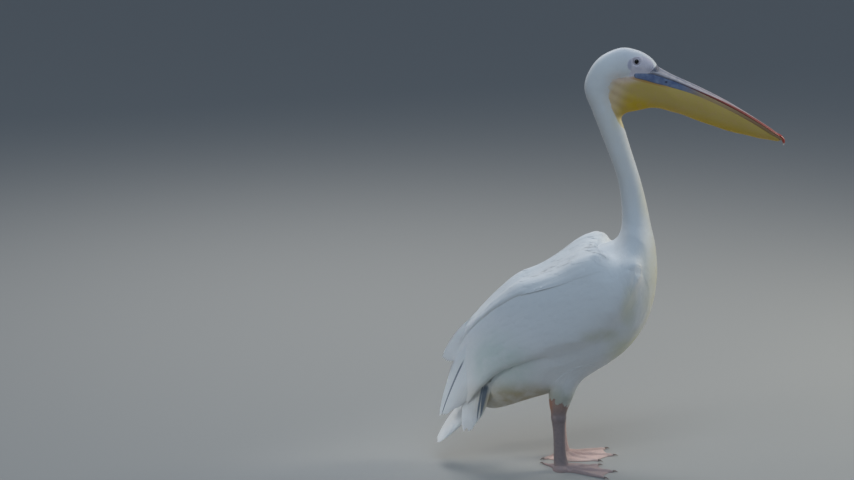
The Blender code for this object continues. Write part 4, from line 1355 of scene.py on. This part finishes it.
def mantle_coat(mantle, contour):
    """Feathers of the back and shoulders: short on the collar, 100 mm long over the wings."""
    step = curve((0, .007), (1, .010), (2, .015), (4, .022), (7, .030), (10, .030), (12, .024))
    rng = np.random.default_rng(22)
    t, u = mantle.lattice(step, lambda t: step(t) * .62, .0, 11.6, rng)
    width = curve((1.8, .22), (3.0, .335))(t)
    keep = (u < width) | (u > 1 - width)
    size = step(t) * rng.uniform(.90, 1.12, len(t))
    length = size * curve((0, 2.6), (4, 3.0), (8, 3.4), (12, 2.6))(t)
    t, u, size, length = t[keep], u[keep], size[keep], length[keep]
    reach = np.clip(mantle.stretch(t, u), .8, 2.0)
    part = lay_vanes(
        mantle, t, u, length * reach, size * .46 * np.sqrt(reach), WING_COAT * .8,
        .0012 * rng.uniform(.6, 1.4, len(t)), size * .014, rng.normal(0, .04, len(t)),
        way=1.0, rows=8, columns=5, contour=contour,
        rank=curve((0, -.0045), (1.2, -.0035), (2.4, .0002))(t),
    )
    # Long shoulder feathers along the brink, standing 3 mm over the wing.
    t = np.tile(np.linspace(4.2, 9.6, 9), 2) + rng.normal(0, .12, 18)
    u = np.repeat([.315, .685], 9) + np.repeat([-1, 1], 9) * rng.uniform(.0, .05, 18)
    brink = lay_vanes(
        mantle, t, u, rng.uniform(.10, .13, 18), .0105, WING_COAT * .6, rng.uniform(.0022, .0040, 18),
        .0008, np.repeat([.10, -.10], 9) + rng.normal(0, .05, 18), way=1.0, rows=14, columns=7,
        contour=contour, rank=.0004,
    )
    vane_piece("mantle", [part, brink], plumage_material())


def thigh_coat(contour):
    """Feathers of the thighs, hanging down to just above the bare shank."""
    step = curve((0, .012), (3, .009), (5, .006))
    for tag in SIDES:
        offset = np.array([0, LEG_Y[tag], 0])
        leg = Sheet(lambda t, angle: leg_places(t, angle) + offset, 0, 6, 200, 96)
        rng = np.random.default_rng(23)
        t, u = leg.lattice(step, lambda t: step(t) * .8, .3, 4.05, rng)
        root = leg.mix(leg.places, t, u)
        keep = root[:, 2] > feather_edge(root[:, 0]) + .006
        t, u = t[keep], u[keep]
        size = step(t) * rng.uniform(.88, 1.12, len(t))
        ragged = rng.uniform(.55, 1.40, len(t)) ** smooth(t, 2.4, 3.2)
        part = lay_vanes(
            leg, t, u, size * 2.7 * ragged, size * .60, THIGH_COAT * .8,
            .0008 * rng.uniform(.6, 1.4, len(t)), size * .012, rng.normal(0, .08, len(t)),
            way=1.0, rows=5, columns=5, mirror=tag == "R", contour=contour,
        )
        vane_piece(f"thigh_feathers_{tag}", [part], plumage_material())


def quill_sections(keys, count, out, fray, rng):
    """Long feathers as tables (quill, step, place round the section, 3).

    Each path is the quadratic Bezier curve of its root, bend and tip.  Across it the vane runs
    from -1 to 1 times the half width and its outline: a quick rise, an even run and a fall to
    the tip as (1 - s^2.4)^0.62.  The upper face is cambered by 1 - c^2 with a fine ridge for the
    shaft; the lower face lies a thickness under it.  The second result is the share of slate.
    """
    steps, columns = 30, 9
    rows = spline(keys, np.linspace(0, len(keys) - 1, count))
    root, bend, tip = (rows[:, None, k:k + 3] + [CENTRE_X, 0, 0] for k in (0, 3, 6))
    half = rows[:, 9, None, None]
    tip = tip + (tip - bend) * rng.normal(0, .012, (count, 1, 1))
    v = (1 - np.linspace(1, 0, steps) ** 1.25)[None, :, None]
    path = (1 - v) ** 2 * root + 2 * v * (1 - v) * bend + v**2 * tip
    travel = unit(2 * (1 - v) * (bend - root) + 2 * v * (tip - bend))
    tilt = rows[:, 11, None, None]
    facing = np.array(out) * np.cos(tilt) + np.array([0, 1, 0]) * np.sin(tilt)
    across = unit(np.cross(travel, facing))
    normal = unit(np.cross(across, travel))
    fall = np.clip((v - .40) / .60, 0, 1)
    outline = (.45 + .55 * smooth(v, 0, .35)) * (1 - fall**2.4) ** .62
    c = np.concatenate([np.linspace(-1, 1, columns), np.linspace(1, -1, columns)])
    top = np.concatenate([np.ones(columns), np.zeros(columns)])
    teeth = 1 - fray * rng.uniform(0, 1, (count, steps, 1)) * smooth(v, .45, 1.0) * (np.abs(c) > .9)
    reach = half * outline * teeth * c
    camber = half * .22 * (1 - c**2) * outline
    shaft = SHAFT_RIDGE * np.exp(-((c / .10) ** 2)) * (1 - v)
    body = np.maximum(QUILL_THICK * outline * (1 - .75 * np.abs(c)), .00012)
    order = (np.arange(count) * QUILL_APART)[:, None, None]
    stand = camber + shaft * top - body * (1 - top) - order
    places = path[:, :, None] + across[:, :, None] * reach[..., None] + normal[:, :, None] * stand[..., None]
    streak = rows[:, 10, None, None] + 1e-6
    dark = fade(np.abs(c + .10) / streak, .75, 1.05) * smooth(streak, .18, .24) * smooth(v, .10, .25)
    return places, np.broadcast_to(dark, places.shape[:3])


def quill_group(name, out, nodes):
    """One group of long feathers on both sides, each quill in a cell of its own in the maps."""
    count, keys = QUILLS[name]
    rng = np.random.default_rng(len(name) + 30)
    places, dark = quill_sections(keys, count, out, FRAY.get(name, .06), rng)
    columns, last = places.shape[2], places.shape[2] - 1
    parts = []
    for cell in range(2 * count):
        verts, faces, uv = tube_mesh(places[cell % count])
        share = np.abs(np.mod(uv[..., 0] * columns, columns) - last / 2) / (last / 2)
        own = np.stack([1 - share, uv[..., 1]], -1)
        bake = np.stack([(cell + .04 + .92 * uv[..., 0]) / (2 * count), .02 + .96 * uv[..., 1]], -1)
        part = verts, faces, own, bake
        parts.append(part if cell < count else mirrored(part))
    shades = [np.concatenate([quill.ravel(), [quill[0].mean(), 0]]) for quill in dark]
    vane_piece(f"{name}_quills", parts, quill_material(), *nodes, values={"dark": np.concatenate(shades * 2)})


def long_feathers():
    """The wings' three groups, which face sideways, and the tail, which faces up and back."""
    for name in ("tertials", "secondaries", "primaries"):
        quill_group(name, (0, 1, 0), [f"{name}_{tag}" for tag in SIDES])
    quill_group("tail", (-.77, 0, .63), ["tail"])


def main():
    """Builds the stage, the pieces of flesh and horn, and the plumage over them."""
    floor()
    lights()
    camera()
    mantle = Sheet(mantle_places, 0, MANTLE_ROWS - 1, 300, 192)
    skin(mantle)
    upper_jaw()
    lower_jaw()
    nail()
    eyes()
    claws()
    body = Sheet(body_places, 0, COAT_END, 660, 256)
    wing = wing_sheet(240, 128)
    contour = Contour(contour_parts(body, wing, mantle))
    body_coat(body, wing, contour)
    wing_coat(wing, contour)
    mantle_coat(mantle, contour)
    thigh_coat(contour)
    contour.done()
    long_feathers()


# ---------------------------------------------------------------- materials
def feed(tree, socket, value):
    """Links a socket's value to an input, or sets a constant; a colour's alpha is 1."""
    if isinstance(value, bpy.types.NodeSocket):
        tree.links.new(value, socket)
    else:
        socket.default_value = (*value, 1) if socket.type == "RGBA" else value


def node(tree, kind, inputs=None, **settings):
    """A node with its settings and its input values or links."""
    made = tree.nodes.new(kind)
    for name, value in settings.items():
        setattr(made, name, value)
    for name, value in (inputs or {}).items():
        feed(tree, made.inputs[name], value)
    return made


def tree_of(*values):
    """The node tree that the values' first socket is in."""
    return next(value.id_data for value in values if isinstance(value, bpy.types.NodeSocket))


def maths(operation, *values):
    """The result of a Math node."""
    return node(tree_of(*values), "ShaderNodeMath", dict(enumerate(values)), operation=operation).outputs[0]


def product(*values):
    """The values multiplied together."""
    return reduce(lambda a, b: maths("MULTIPLY", a, b), values)


def blended(share, base, top):
    """Colour mix of base and top by share: the Mix node's inputs 0, 6 and 7 and its output 2."""
    return node(tree_of(share), "ShaderNodeMix", {0: share, 6: base, 7: top}, data_type="RGBA").outputs[2]


def ramp(value, low, high, first=0.0, last=1.0):
    """Smooth change from first at low to last at high."""
    inputs = {"Value": value, "From Min": low, "From Max": high, "To Min": first, "To Max": last}
    return node(tree_of(value), "ShaderNodeMapRange", inputs, interpolation_type="SMOOTHSTEP").outputs[0]


def noise(place, scale, detail, distortion=0.0):
    """Cloudy noise from 0 to 1."""
    inputs = {"Vector": place, "Scale": scale, "Detail": detail, "Distortion": distortion}
    return node(tree_of(place), "ShaderNodeTexNoise", inputs).outputs[0]


def cells(place, scale, feature="DISTANCE_TO_EDGE"):
    """Distance in a pattern of irregular cells."""
    inputs = {"Vector": place, "Scale": scale}
    return node(tree_of(place), "ShaderNodeTexVoronoi", inputs, feature=feature).outputs["Distance"]


def place_in(tree):
    """The place in the piece's own axes, which are the frame's."""
    return node(tree, "ShaderNodeTexCoord").outputs["Object"]


def axes(vector):
    """The x, y and z of a vector."""
    return node(tree_of(vector), "ShaderNodeSeparateXYZ", {"Vector": vector}).outputs


def value_of(tree, name):
    """A point value of the piece's own mesh."""
    return node(tree, "ShaderNodeAttribute", attribute_name=name).outputs["Fac"]


def shared_group(name, **inputs):
    """Turns a function into one that gives a node group, made when first asked for.  The function
    takes the group's tree and its input sockets and returns its named results."""
    def wrap(fill):
        """Keeps the function that fills the group."""
        @cache
        def made():
            """The group, with the sockets that its inputs and its results need."""
            tree = bpy.data.node_groups.new(name, "ShaderNodeTree")
            for socket, value in inputs.items():
                kind = "NodeSocketVector" if isinstance(value, tuple) else "NodeSocketFloat"
                tree.interface.new_socket(socket, in_out="INPUT", socket_type=kind).default_value = value
            results = fill(tree, tree.nodes.new("NodeGroupInput").outputs)
            for socket, value in results.items():
                kind = "NodeSocketColor" if value.type == "RGBA" else "NodeSocketFloat"
                tree.interface.new_socket(socket, in_out="OUTPUT", socket_type=kind)
            node(tree, "NodeGroupOutput", results)
            return tree
        return made
    return wrap


def placed(tree, group, **inputs):
    """The outputs of a node that uses a group, with its named inputs set."""
    return node(tree, "ShaderNodeGroup", inputs=inputs, node_tree=group()).outputs


@shared_group("Soft patch", Centre=(0, 0, 0), Radii=(1, 1, 1))
def soft_patch(tree, given):
    """Mask of an ellipsoid with a soft edge, on both sides of the middle plane."""
    x, y, z = axes(place_in(tree))
    vector = node(tree, "ShaderNodeCombineXYZ", {"X": x, "Y": maths("ABSOLUTE", y), "Z": z}).outputs[0]
    for operation, other in (("SUBTRACT", given["Centre"]), ("DIVIDE", given["Radii"])):
        vector = node(tree, "ShaderNodeVectorMath", {0: vector, 1: other}, operation=operation).outputs[0]
    far = node(tree, "ShaderNodeVectorMath", {0: vector}, operation="LENGTH").outputs["Value"]
    return {"Mask": ramp(far, 1.0, .25)}


def patch_mask(tree, centre, radii):
    """The soft patch at a centre."""
    return placed(tree, soft_patch, Centre=centre, Radii=radii)["Mask"]


WHITE = (.83, .84, .84)
# Stains of the plumage and painted light on it (painted shade, painted reflections of the ground and a
# painted warm rim light): centre, radii, colour and strength.
STAINS_AND_PAINTED_LIGHT = (
    # partly the breast's real yellow wash, partly a painted reflection of the grass
    ((.130, 0, .500), (.085, .16, .20), (.78, .72, .44), .60),
    # partly a real yellow wash, partly a painted warm rim light down the front of the neck
    ((.092, 0, .720), (.030, .05, .19), (.80, .74, .52), .45),
    # painted shade and a painted warm reflection of the ground under the tail, with a little real soiling
    ((-.225, .05, .190), (.18, .14, .080), (.46, .37, .19), .95),
    # painted shade with a painted yellow-green reflection of the ground on the belly
    ((.070, 0, .340), (.110, .20, .090), (.72, .69, .38), .70),
    # painted shade, greenish, low on the thighs under the belly
    ((-.110, .06, .180), (.075, .20, .085), (.40, .42, .34), .80),
    # painted green reflection of the grass low on the rear of the wings
    ((-.265, .09, .300), (.130, .08, .120), (.56, .68, .62), .65),
    # these two: olive tints along the wing's lower front edge
    ((.062, .125, .455), (.035, .06, .10), (.62, .61, .38), .45),
    ((.000, .135, .388), (.085, .06, .032), (.56, .56, .38), .45),
    ((.018, 0, 1.035), (.050, .06, .032), (.84, .62, .46), .80),
    ((-.004, 0, .985), (.022, .06, .060), (.80, .66, .52), .65),
    ((.016, 0, .925), (.022, .06, .050), (.80, .70, .46), .60),
    ((.052, 0, 1.085), (.085, .06, .050), (.72, .69, .76), .55),
    ((.010, 0, .900), (.140, .20, .280), (.80, .77, .71), .55),
)


@shared_group("Plumage markings", Strength=1.0)
def markings_and_painted_light(tree, given):
    """Colour of the plumage by place on the bird: white with soft stains, painted shade and painted ground
    reflections low on the body, a painted warm rim light on the neck's front, and faint mottling.
    """
    place = place_in(tree)
    loose = ramp(noise(place, 26.0, 4.0), .30, .62, .55, 1.0)
    colour = WHITE
    for centre, radii, tint, strength in STAINS_AND_PAINTED_LIGHT:
        mask = patch_mask(tree, centre, radii)
        colour = blended(product(mask, strength, loose, given["Strength"]), colour, tint)
    fine = ramp(noise(place, 90.0, 3.0), .25, .75, .0, .07)
    return {"Colour": blended(fine, colour, (.58, .62, .68))}


@shared_group("Vane grain", Barbs=26.0)
def vane_grain(tree, given):
    """Barbs of a vane from its own UV map: fine slanting lines that meet at a pale shaft."""
    u, v, _ = axes(node(tree, "ShaderNodeUVMap", uv_map="Vane").outputs[0])
    side = maths("ABSOLUTE", maths("SUBTRACT", u, .5))
    slant = maths("SUBTRACT", v, product(side, .55))
    wobble = noise(place_in(tree), 160.0, 2.0)
    phase = maths("ADD", product(slant, given["Barbs"]), product(wobble, 2.4))
    wave = maths("SINE", product(phase, 2 * math.pi))
    shaft = ramp(side, .045, .015)
    height = maths("ADD", product(wave, .25), product(shaft, .8))
    return {"Height": height, "Shade": ramp(wave, -1, 1), "Shaft": shaft}


@shared_group("Skin grain", Scale=500.0)
def skin_grain(tree, given):
    """Pebbled bare skin: small cells with softer noise over them."""
    place = place_in(tree)
    cloud = noise(place, 120.0, 5.0)
    return {"Height": maths("SUBTRACT", cloud, cells(place, given["Scale"], "SMOOTH_F1")), "Shade": cloud}


@shared_group("Horn grain", Fineness=420.0)
def horn_grain(tree, given):
    """Long fibres of horn: noise stretched along the bill's own slope."""
    place = place_in(tree)
    stretched = {"Vector": place, "Rotation": (0, -.50, 0), "Scale": (.07, 1, 1)}
    fibre = noise(node(tree, "ShaderNodeMapping", stretched).outputs[0], given["Fineness"], 4.0)
    return {"Height": fibre, "Shade": ramp(noise(place, 70.0, 4.0), .3, .7)}


def new_material(name):
    """A material and its node tree."""
    made = bpy.data.materials.new(name)
    made.use_nodes = True
    return made, made.node_tree


def surface(tree, colour, bump=None, **constants):
    """Gives the Principled shader its colour, its bump as (height, strength, distance) and its
    constants, each set on the shader's own socket of that name."""
    shader = tree.nodes["Principled BSDF"]
    feed(tree, shader.inputs["Base Color"], colour)
    for name, value in constants.items():
        feed(tree, shader.inputs[name.replace("_", " ")], value)
    if bump:
        inputs = dict(zip(("Height", "Strength", "Distance"), bump))
        feed(tree, shader.inputs["Normal"], node(tree, "ShaderNodeBump", inputs).outputs[0])


@cache
def plumage_material():
    """The plumage's markings and painted light, with faint barbs, a little sheen and a low bump."""
    made, tree = new_material("White plumage")
    grain = placed(tree, vane_grain)
    colour = blended(product(grain["Shade"], .05), placed(tree, markings_and_painted_light)["Colour"], (.60, .62, .66))
    bump = (grain["Height"], .25, .0002)
    surface(tree, colour, bump, Roughness=.62, Sheen_Weight=.15, Sheen_Roughness=.5)
    return made


@cache
def quill_material():
    """The plumage's white with its markings and painted light, and the slate of the flight
    feathers where the piece says so.
    """
    made, tree = new_material("Long feathers")
    grain = placed(tree, vane_grain, Barbs=70.0)
    colour = blended(product(grain["Shade"], .10), placed(tree, markings_and_painted_light)["Colour"], (.56, .60, .66))
    colour = blended(product(grain["Shaft"], .4), colour, (.86, .84, .78))
    colour = blended(product(value_of(tree, "dark"), .92), colour, (.085, .125, .175))
    bump = (grain["Height"], .35, .0003)
    surface(tree, colour, bump, Roughness=.55, Sheen_Weight=.10, Sheen_Roughness=.5)
    return made


def face_colour(tree, grain):
    """Lilac skin, dusky at the bill's root and on the lids; painted shade in the fold behind the eye."""
    place = place_in(tree)
    colour = blended(grain["Shade"], (.68, .63, .71), (.80, .73, .77))
    near_bill = patch_mask(tree, (.104, .02, 1.058), (.026, .03, .015))
    # darker, mottled skin at the bill's root
    bill_root_dusk = product(near_bill, ramp(noise(place, 480.0, 3.0), .38, .60, .35, 1.0), .45)
    colour = blended(bill_root_dusk, colour, (.26, .25, .32))
    # painted shade in the fold behind the eye
    fold = patch_mask(tree, (.0475, .03, 1.0700), (.0090, .03, .0210))
    colour = blended(product(fold, .55), colour, (.34, .37, .50))
    under = patch_mask(tree, (.0700, .03, 1.0600), (.0150, .03, .0060))
    colour = blended(product(under, .25), colour, (.42, .40, .50))
    return blended(product(value_of(tree, "lid"), .8), colour, (.64, .58, .64))


def pouch_colour(tree):
    """Ochre, clear yellow along the keel, paler toward the neck and rusty under the jaw."""
    place = place_in(tree)
    x, _, z = axes(place)
    keel = ramp(maths("ADD", z, product(x, .30)), 1.020, .985)
    to_neck = maths("SUBTRACT", x, product(maths("SUBTRACT", z, .90), .35))
    jaw = maths("ADD", z, product(x, .24))
    line = product(ramp(jaw, 1.0450, 1.0475), ramp(jaw, 1.0560, 1.0520))
    veins = noise(place, 60.0, 6.0, 1.2)
    colour = blended(noise(place, 18.0, 4.0), (.56, .385, .085), (.64, .45, .12))
    for share, tint in (
        (product(keel, ramp(x, .010, .075, .25, 1.0)), (.68, .43, .002)),
        (product(ramp(to_neck, .022, -.024), .70), (.80, .60, .40)),
        (product(ramp(z, .945, .915, 0, .7), ramp(x, .060, .045)), (.80, .72, .46)),
        (product(ramp(z, 1.016, 1.036), ramp(x, .090, .045)), (.84, .64, .50)),
        (product(line, ramp(x, .045, .060), ramp(x, .170, .120), .60), (.46, .20, .06)),
        (product(ramp(veins, .52, .60), .12), (.62, .34, .22)),
    ):
        colour = blended(share, colour, tint)
    return colour


def leg_colour(tree, grain):
    """Grey scaled legs, the grey being painted shade on the right leg; the left leg and foot are
    painted pale pink as if sunlit; pink on the foot, rusty at the back of the joint.
    """
    place = place_in(tree)
    x, y, z = axes(place)
    colour = blended(grain["Shade"], (.20, .17, .18), (.34, .27, .26))
    for share, tint in (
        (ramp(z, .030, .004), (.44, .33, .32)),
        # painted light: the left leg and foot painted pale pink as if in sun, the right leg left in the grey
        # of painted shade
        (ramp(y, -.02, .03), (.74, .55, .50)),
        (ramp(z, .145, .190, 0, .35), (.66, .36, .22)),
        (product(ramp(z, .140, .172), ramp(x, -.127, -.139, 0, .65)), (.50, .19, .09)),
        (ramp(cells(place, 300.0), .10, .0, 0, .45), (.26, .20, .22)),
    ):
        colour = blended(share, colour, tint)
    return colour


@cache
def skin_material():
    """White down, bare face, horny brow, pouch and legs, with the painted light of the plumage,
    face and legs, mixed by the skin's own values.
    """
    made, tree = new_material("Pelican skin")
    grain = placed(tree, skin_grain, Scale=620.0)
    brow = blended(grain["Shade"], (.22, .24, .32), (.38, .38, .45))
    brow = blended(ramp(cells(place_in(tree), 330.0), .16, .04, 0, .9), brow, (.03, .03, .05))
    colour = placed(tree, markings_and_painted_light)["Colour"]
    for region, tint in (
        ("face", face_colour(tree, grain)), ("brow", brow), ("pouch", pouch_colour(tree)),
        ("leg", leg_colour(tree, grain)),
    ):
        colour = blended(value_of(tree, region), colour, tint)
    bare = maths("MAXIMUM", value_of(tree, "pouch"), value_of(tree, "face"))
    surface(tree, colour, (grain["Height"], .35, .0004), Roughness=ramp(bare, 0, 1, .62, .46))
    return made


# Finishes of horn: base colour, second colour, roughness, fibre depth.
UPPER_HORN = ((.40, .38, .42), (.56, .52, .54), .42, .0004)
LOWER_HORN = ((.115, .16, .30), (.23, .285, .42), .38, .0003)
NAIL_HORN = ((.42, .04, .03), (.55, .09, .05), .30, .0002)
CLAW_HORN = ((.28, .22, .20), (.40, .33, .30), .35, .0002)


def horn_layers(tree, finish):
    """Shares and colours laid over a finish of horn: the upper jaw's red edge and tip, the lower
    jaw's brown front, dark rim and spot, and a painted highlight on the nail's point."""
    x, _, z = axes(place_in(tree))
    if finish is UPPER_HORN:
        edge = product(value_of(tree, "edge"), ramp(x, .14, .24, .45, 1.0))
        return [
            (ramp(x, .16, .34, 0, .55), (.74, .52, .50)),
            (edge, blended(ramp(x, .15, .26), (.07, .06, .10), (.26, .045, .030))),
            (product(ramp(x, .33, .42), .45), (.46, .10, .07)),
        ]
    if finish is LOWER_HORN:
        return [
            (ramp(x, .17, .25, 0, .97), (.50, .33, .16)),
            (ramp(x, .26, .38), (.34, .20, .10)),
            (product(value_of(tree, "rim"), .60), (.045, .060, .110)),
            (patch_mask(tree, (.1405, .020, 1.0265), (.0050, .012, .0036)), (.03, .03, .06)),
        ]
    # painted highlight: the nail's hooked point painted pale as if catching the sun
    return [(ramp(z, .874, .868), (.86, .80, .74))] if finish is NAIL_HORN else []


@cache
def horn_material(name, finish):
    """Fibrous horn in two colours, with the layers of its finish."""
    base, second, roughness, depth = finish
    made, tree = new_material(name)
    grain = placed(tree, horn_grain)
    colour = blended(grain["Shade"], base, second)
    for share, tint in horn_layers(tree, finish):
        colour = blended(share, colour, tint)
    surface(tree, colour, (grain["Height"], .5, depth), Roughness=roughness)
    return made


@cache
def eye_material():
    """Black pupil, mottled dark red-brown iris and dark rim, under a clear coat."""
    made, tree = new_material("Eye")
    off = value_of(tree, "off_axis")
    iris = blended(noise(place_in(tree), 900.0, 2.0), (.004, .002, .002), (.014, .006, .005))
    colour = blended(ramp(off, .44, .49), (.001, .001, .001), iris)
    colour = blended(ramp(off, .74, .84), colour, (.012, .009, .009))
    surface(
        tree, colour, Roughness=.10, Specular_IOR_Level=.22, Coat_Weight=.20, Coat_Roughness=.03,
    )
    return made


# ---------------------------------------------------------------- stage
FLOOR_HALF = 40            # metres
CAMERA_AT = (CENTRE_X, -5.1, 1.7738)
LOOK_DOWN, LOOK_BACK = 12.907, 5.318    # degrees below level, and to the bird's rear
LENS_LENGTH, FILM_WIDTH = 85, 36        # millimetres


def floor():
    """Plain pale floor just under the lowest point."""
    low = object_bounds()[0].z - .0002
    round_ = ((-1, -1), (1, -1), (1, 1), (-1, 1))
    corners = np.array([(x * FLOOR_HALF, y * FLOOR_HALF, low) for x, y in round_])
    made = new_object("floor", corners, np.array([(0, 1, 2), (0, 2, 3)]))
    material, tree = new_material("Pale floor")
    surface(tree, (.40, .40, .39), Roughness=.85)
    made.data.materials.append(material)
    made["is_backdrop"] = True


# Disks of light: place, aim, size, power, colour, and the beam's width in degrees.
MIDDLE = (0, 0, .6)
LIGHTS = {
    "key": ((-1.3, 2.3, 3.4), MIDDLE, 2.0, 58, (1.0, .97, .92), 180),
    "rim": ((2.6, 1.2, 1.9), MIDDLE, 1.2, 36, (1.0, .93, .78), 180),
    "back": ((-1.60, -.80, .60), (-.50, 0, .12), .4, .22, (1.0, .98, .95), 28),
    "fill": ((.2, -2.5, 4.5), MIDDLE, 3.2, 62, (.66, .83, 1.0), 180),
}


def lights():
    """The disks of light, each turned to its aim, in a faint blue surround."""
    for name, (place, aim, size, power, colour, spread) in LIGHTS.items():
        light = bpy.data.lights.new(name, "AREA")
        light.shape = "DISK"
        light.size = size
        light.energy = power
        light.color = colour
        light.spread = math.radians(spread)
        made = linked(name, light)
        made.location = place
        made.rotation_euler = (Vector(aim) - Vector(place)).to_track_quat("-Z", "Y").to_euler()
    world = bpy.data.worlds.new("studio")
    world.use_nodes = True
    background = world.node_tree.nodes["Background"]
    background.inputs["Color"].default_value = (.62, .78, 1.0, 1)
    background.inputs["Strength"].default_value = .22
    bpy.context.scene.world = world
    bpy.context.scene.view_settings.view_transform = "Standard"


def camera():
    """Long lens at the bird's right side, above its head's height."""
    lens = bpy.data.cameras.new("camera")
    lens.lens = LENS_LENGTH
    lens.sensor_width = FILM_WIDTH
    made = linked("camera", lens)
    made.location = CAMERA_AT
    made.rotation_euler = (math.radians(90 - LOOK_DOWN), 0, math.radians(LOOK_BACK))
    bpy.context.scene.camera = made


main()
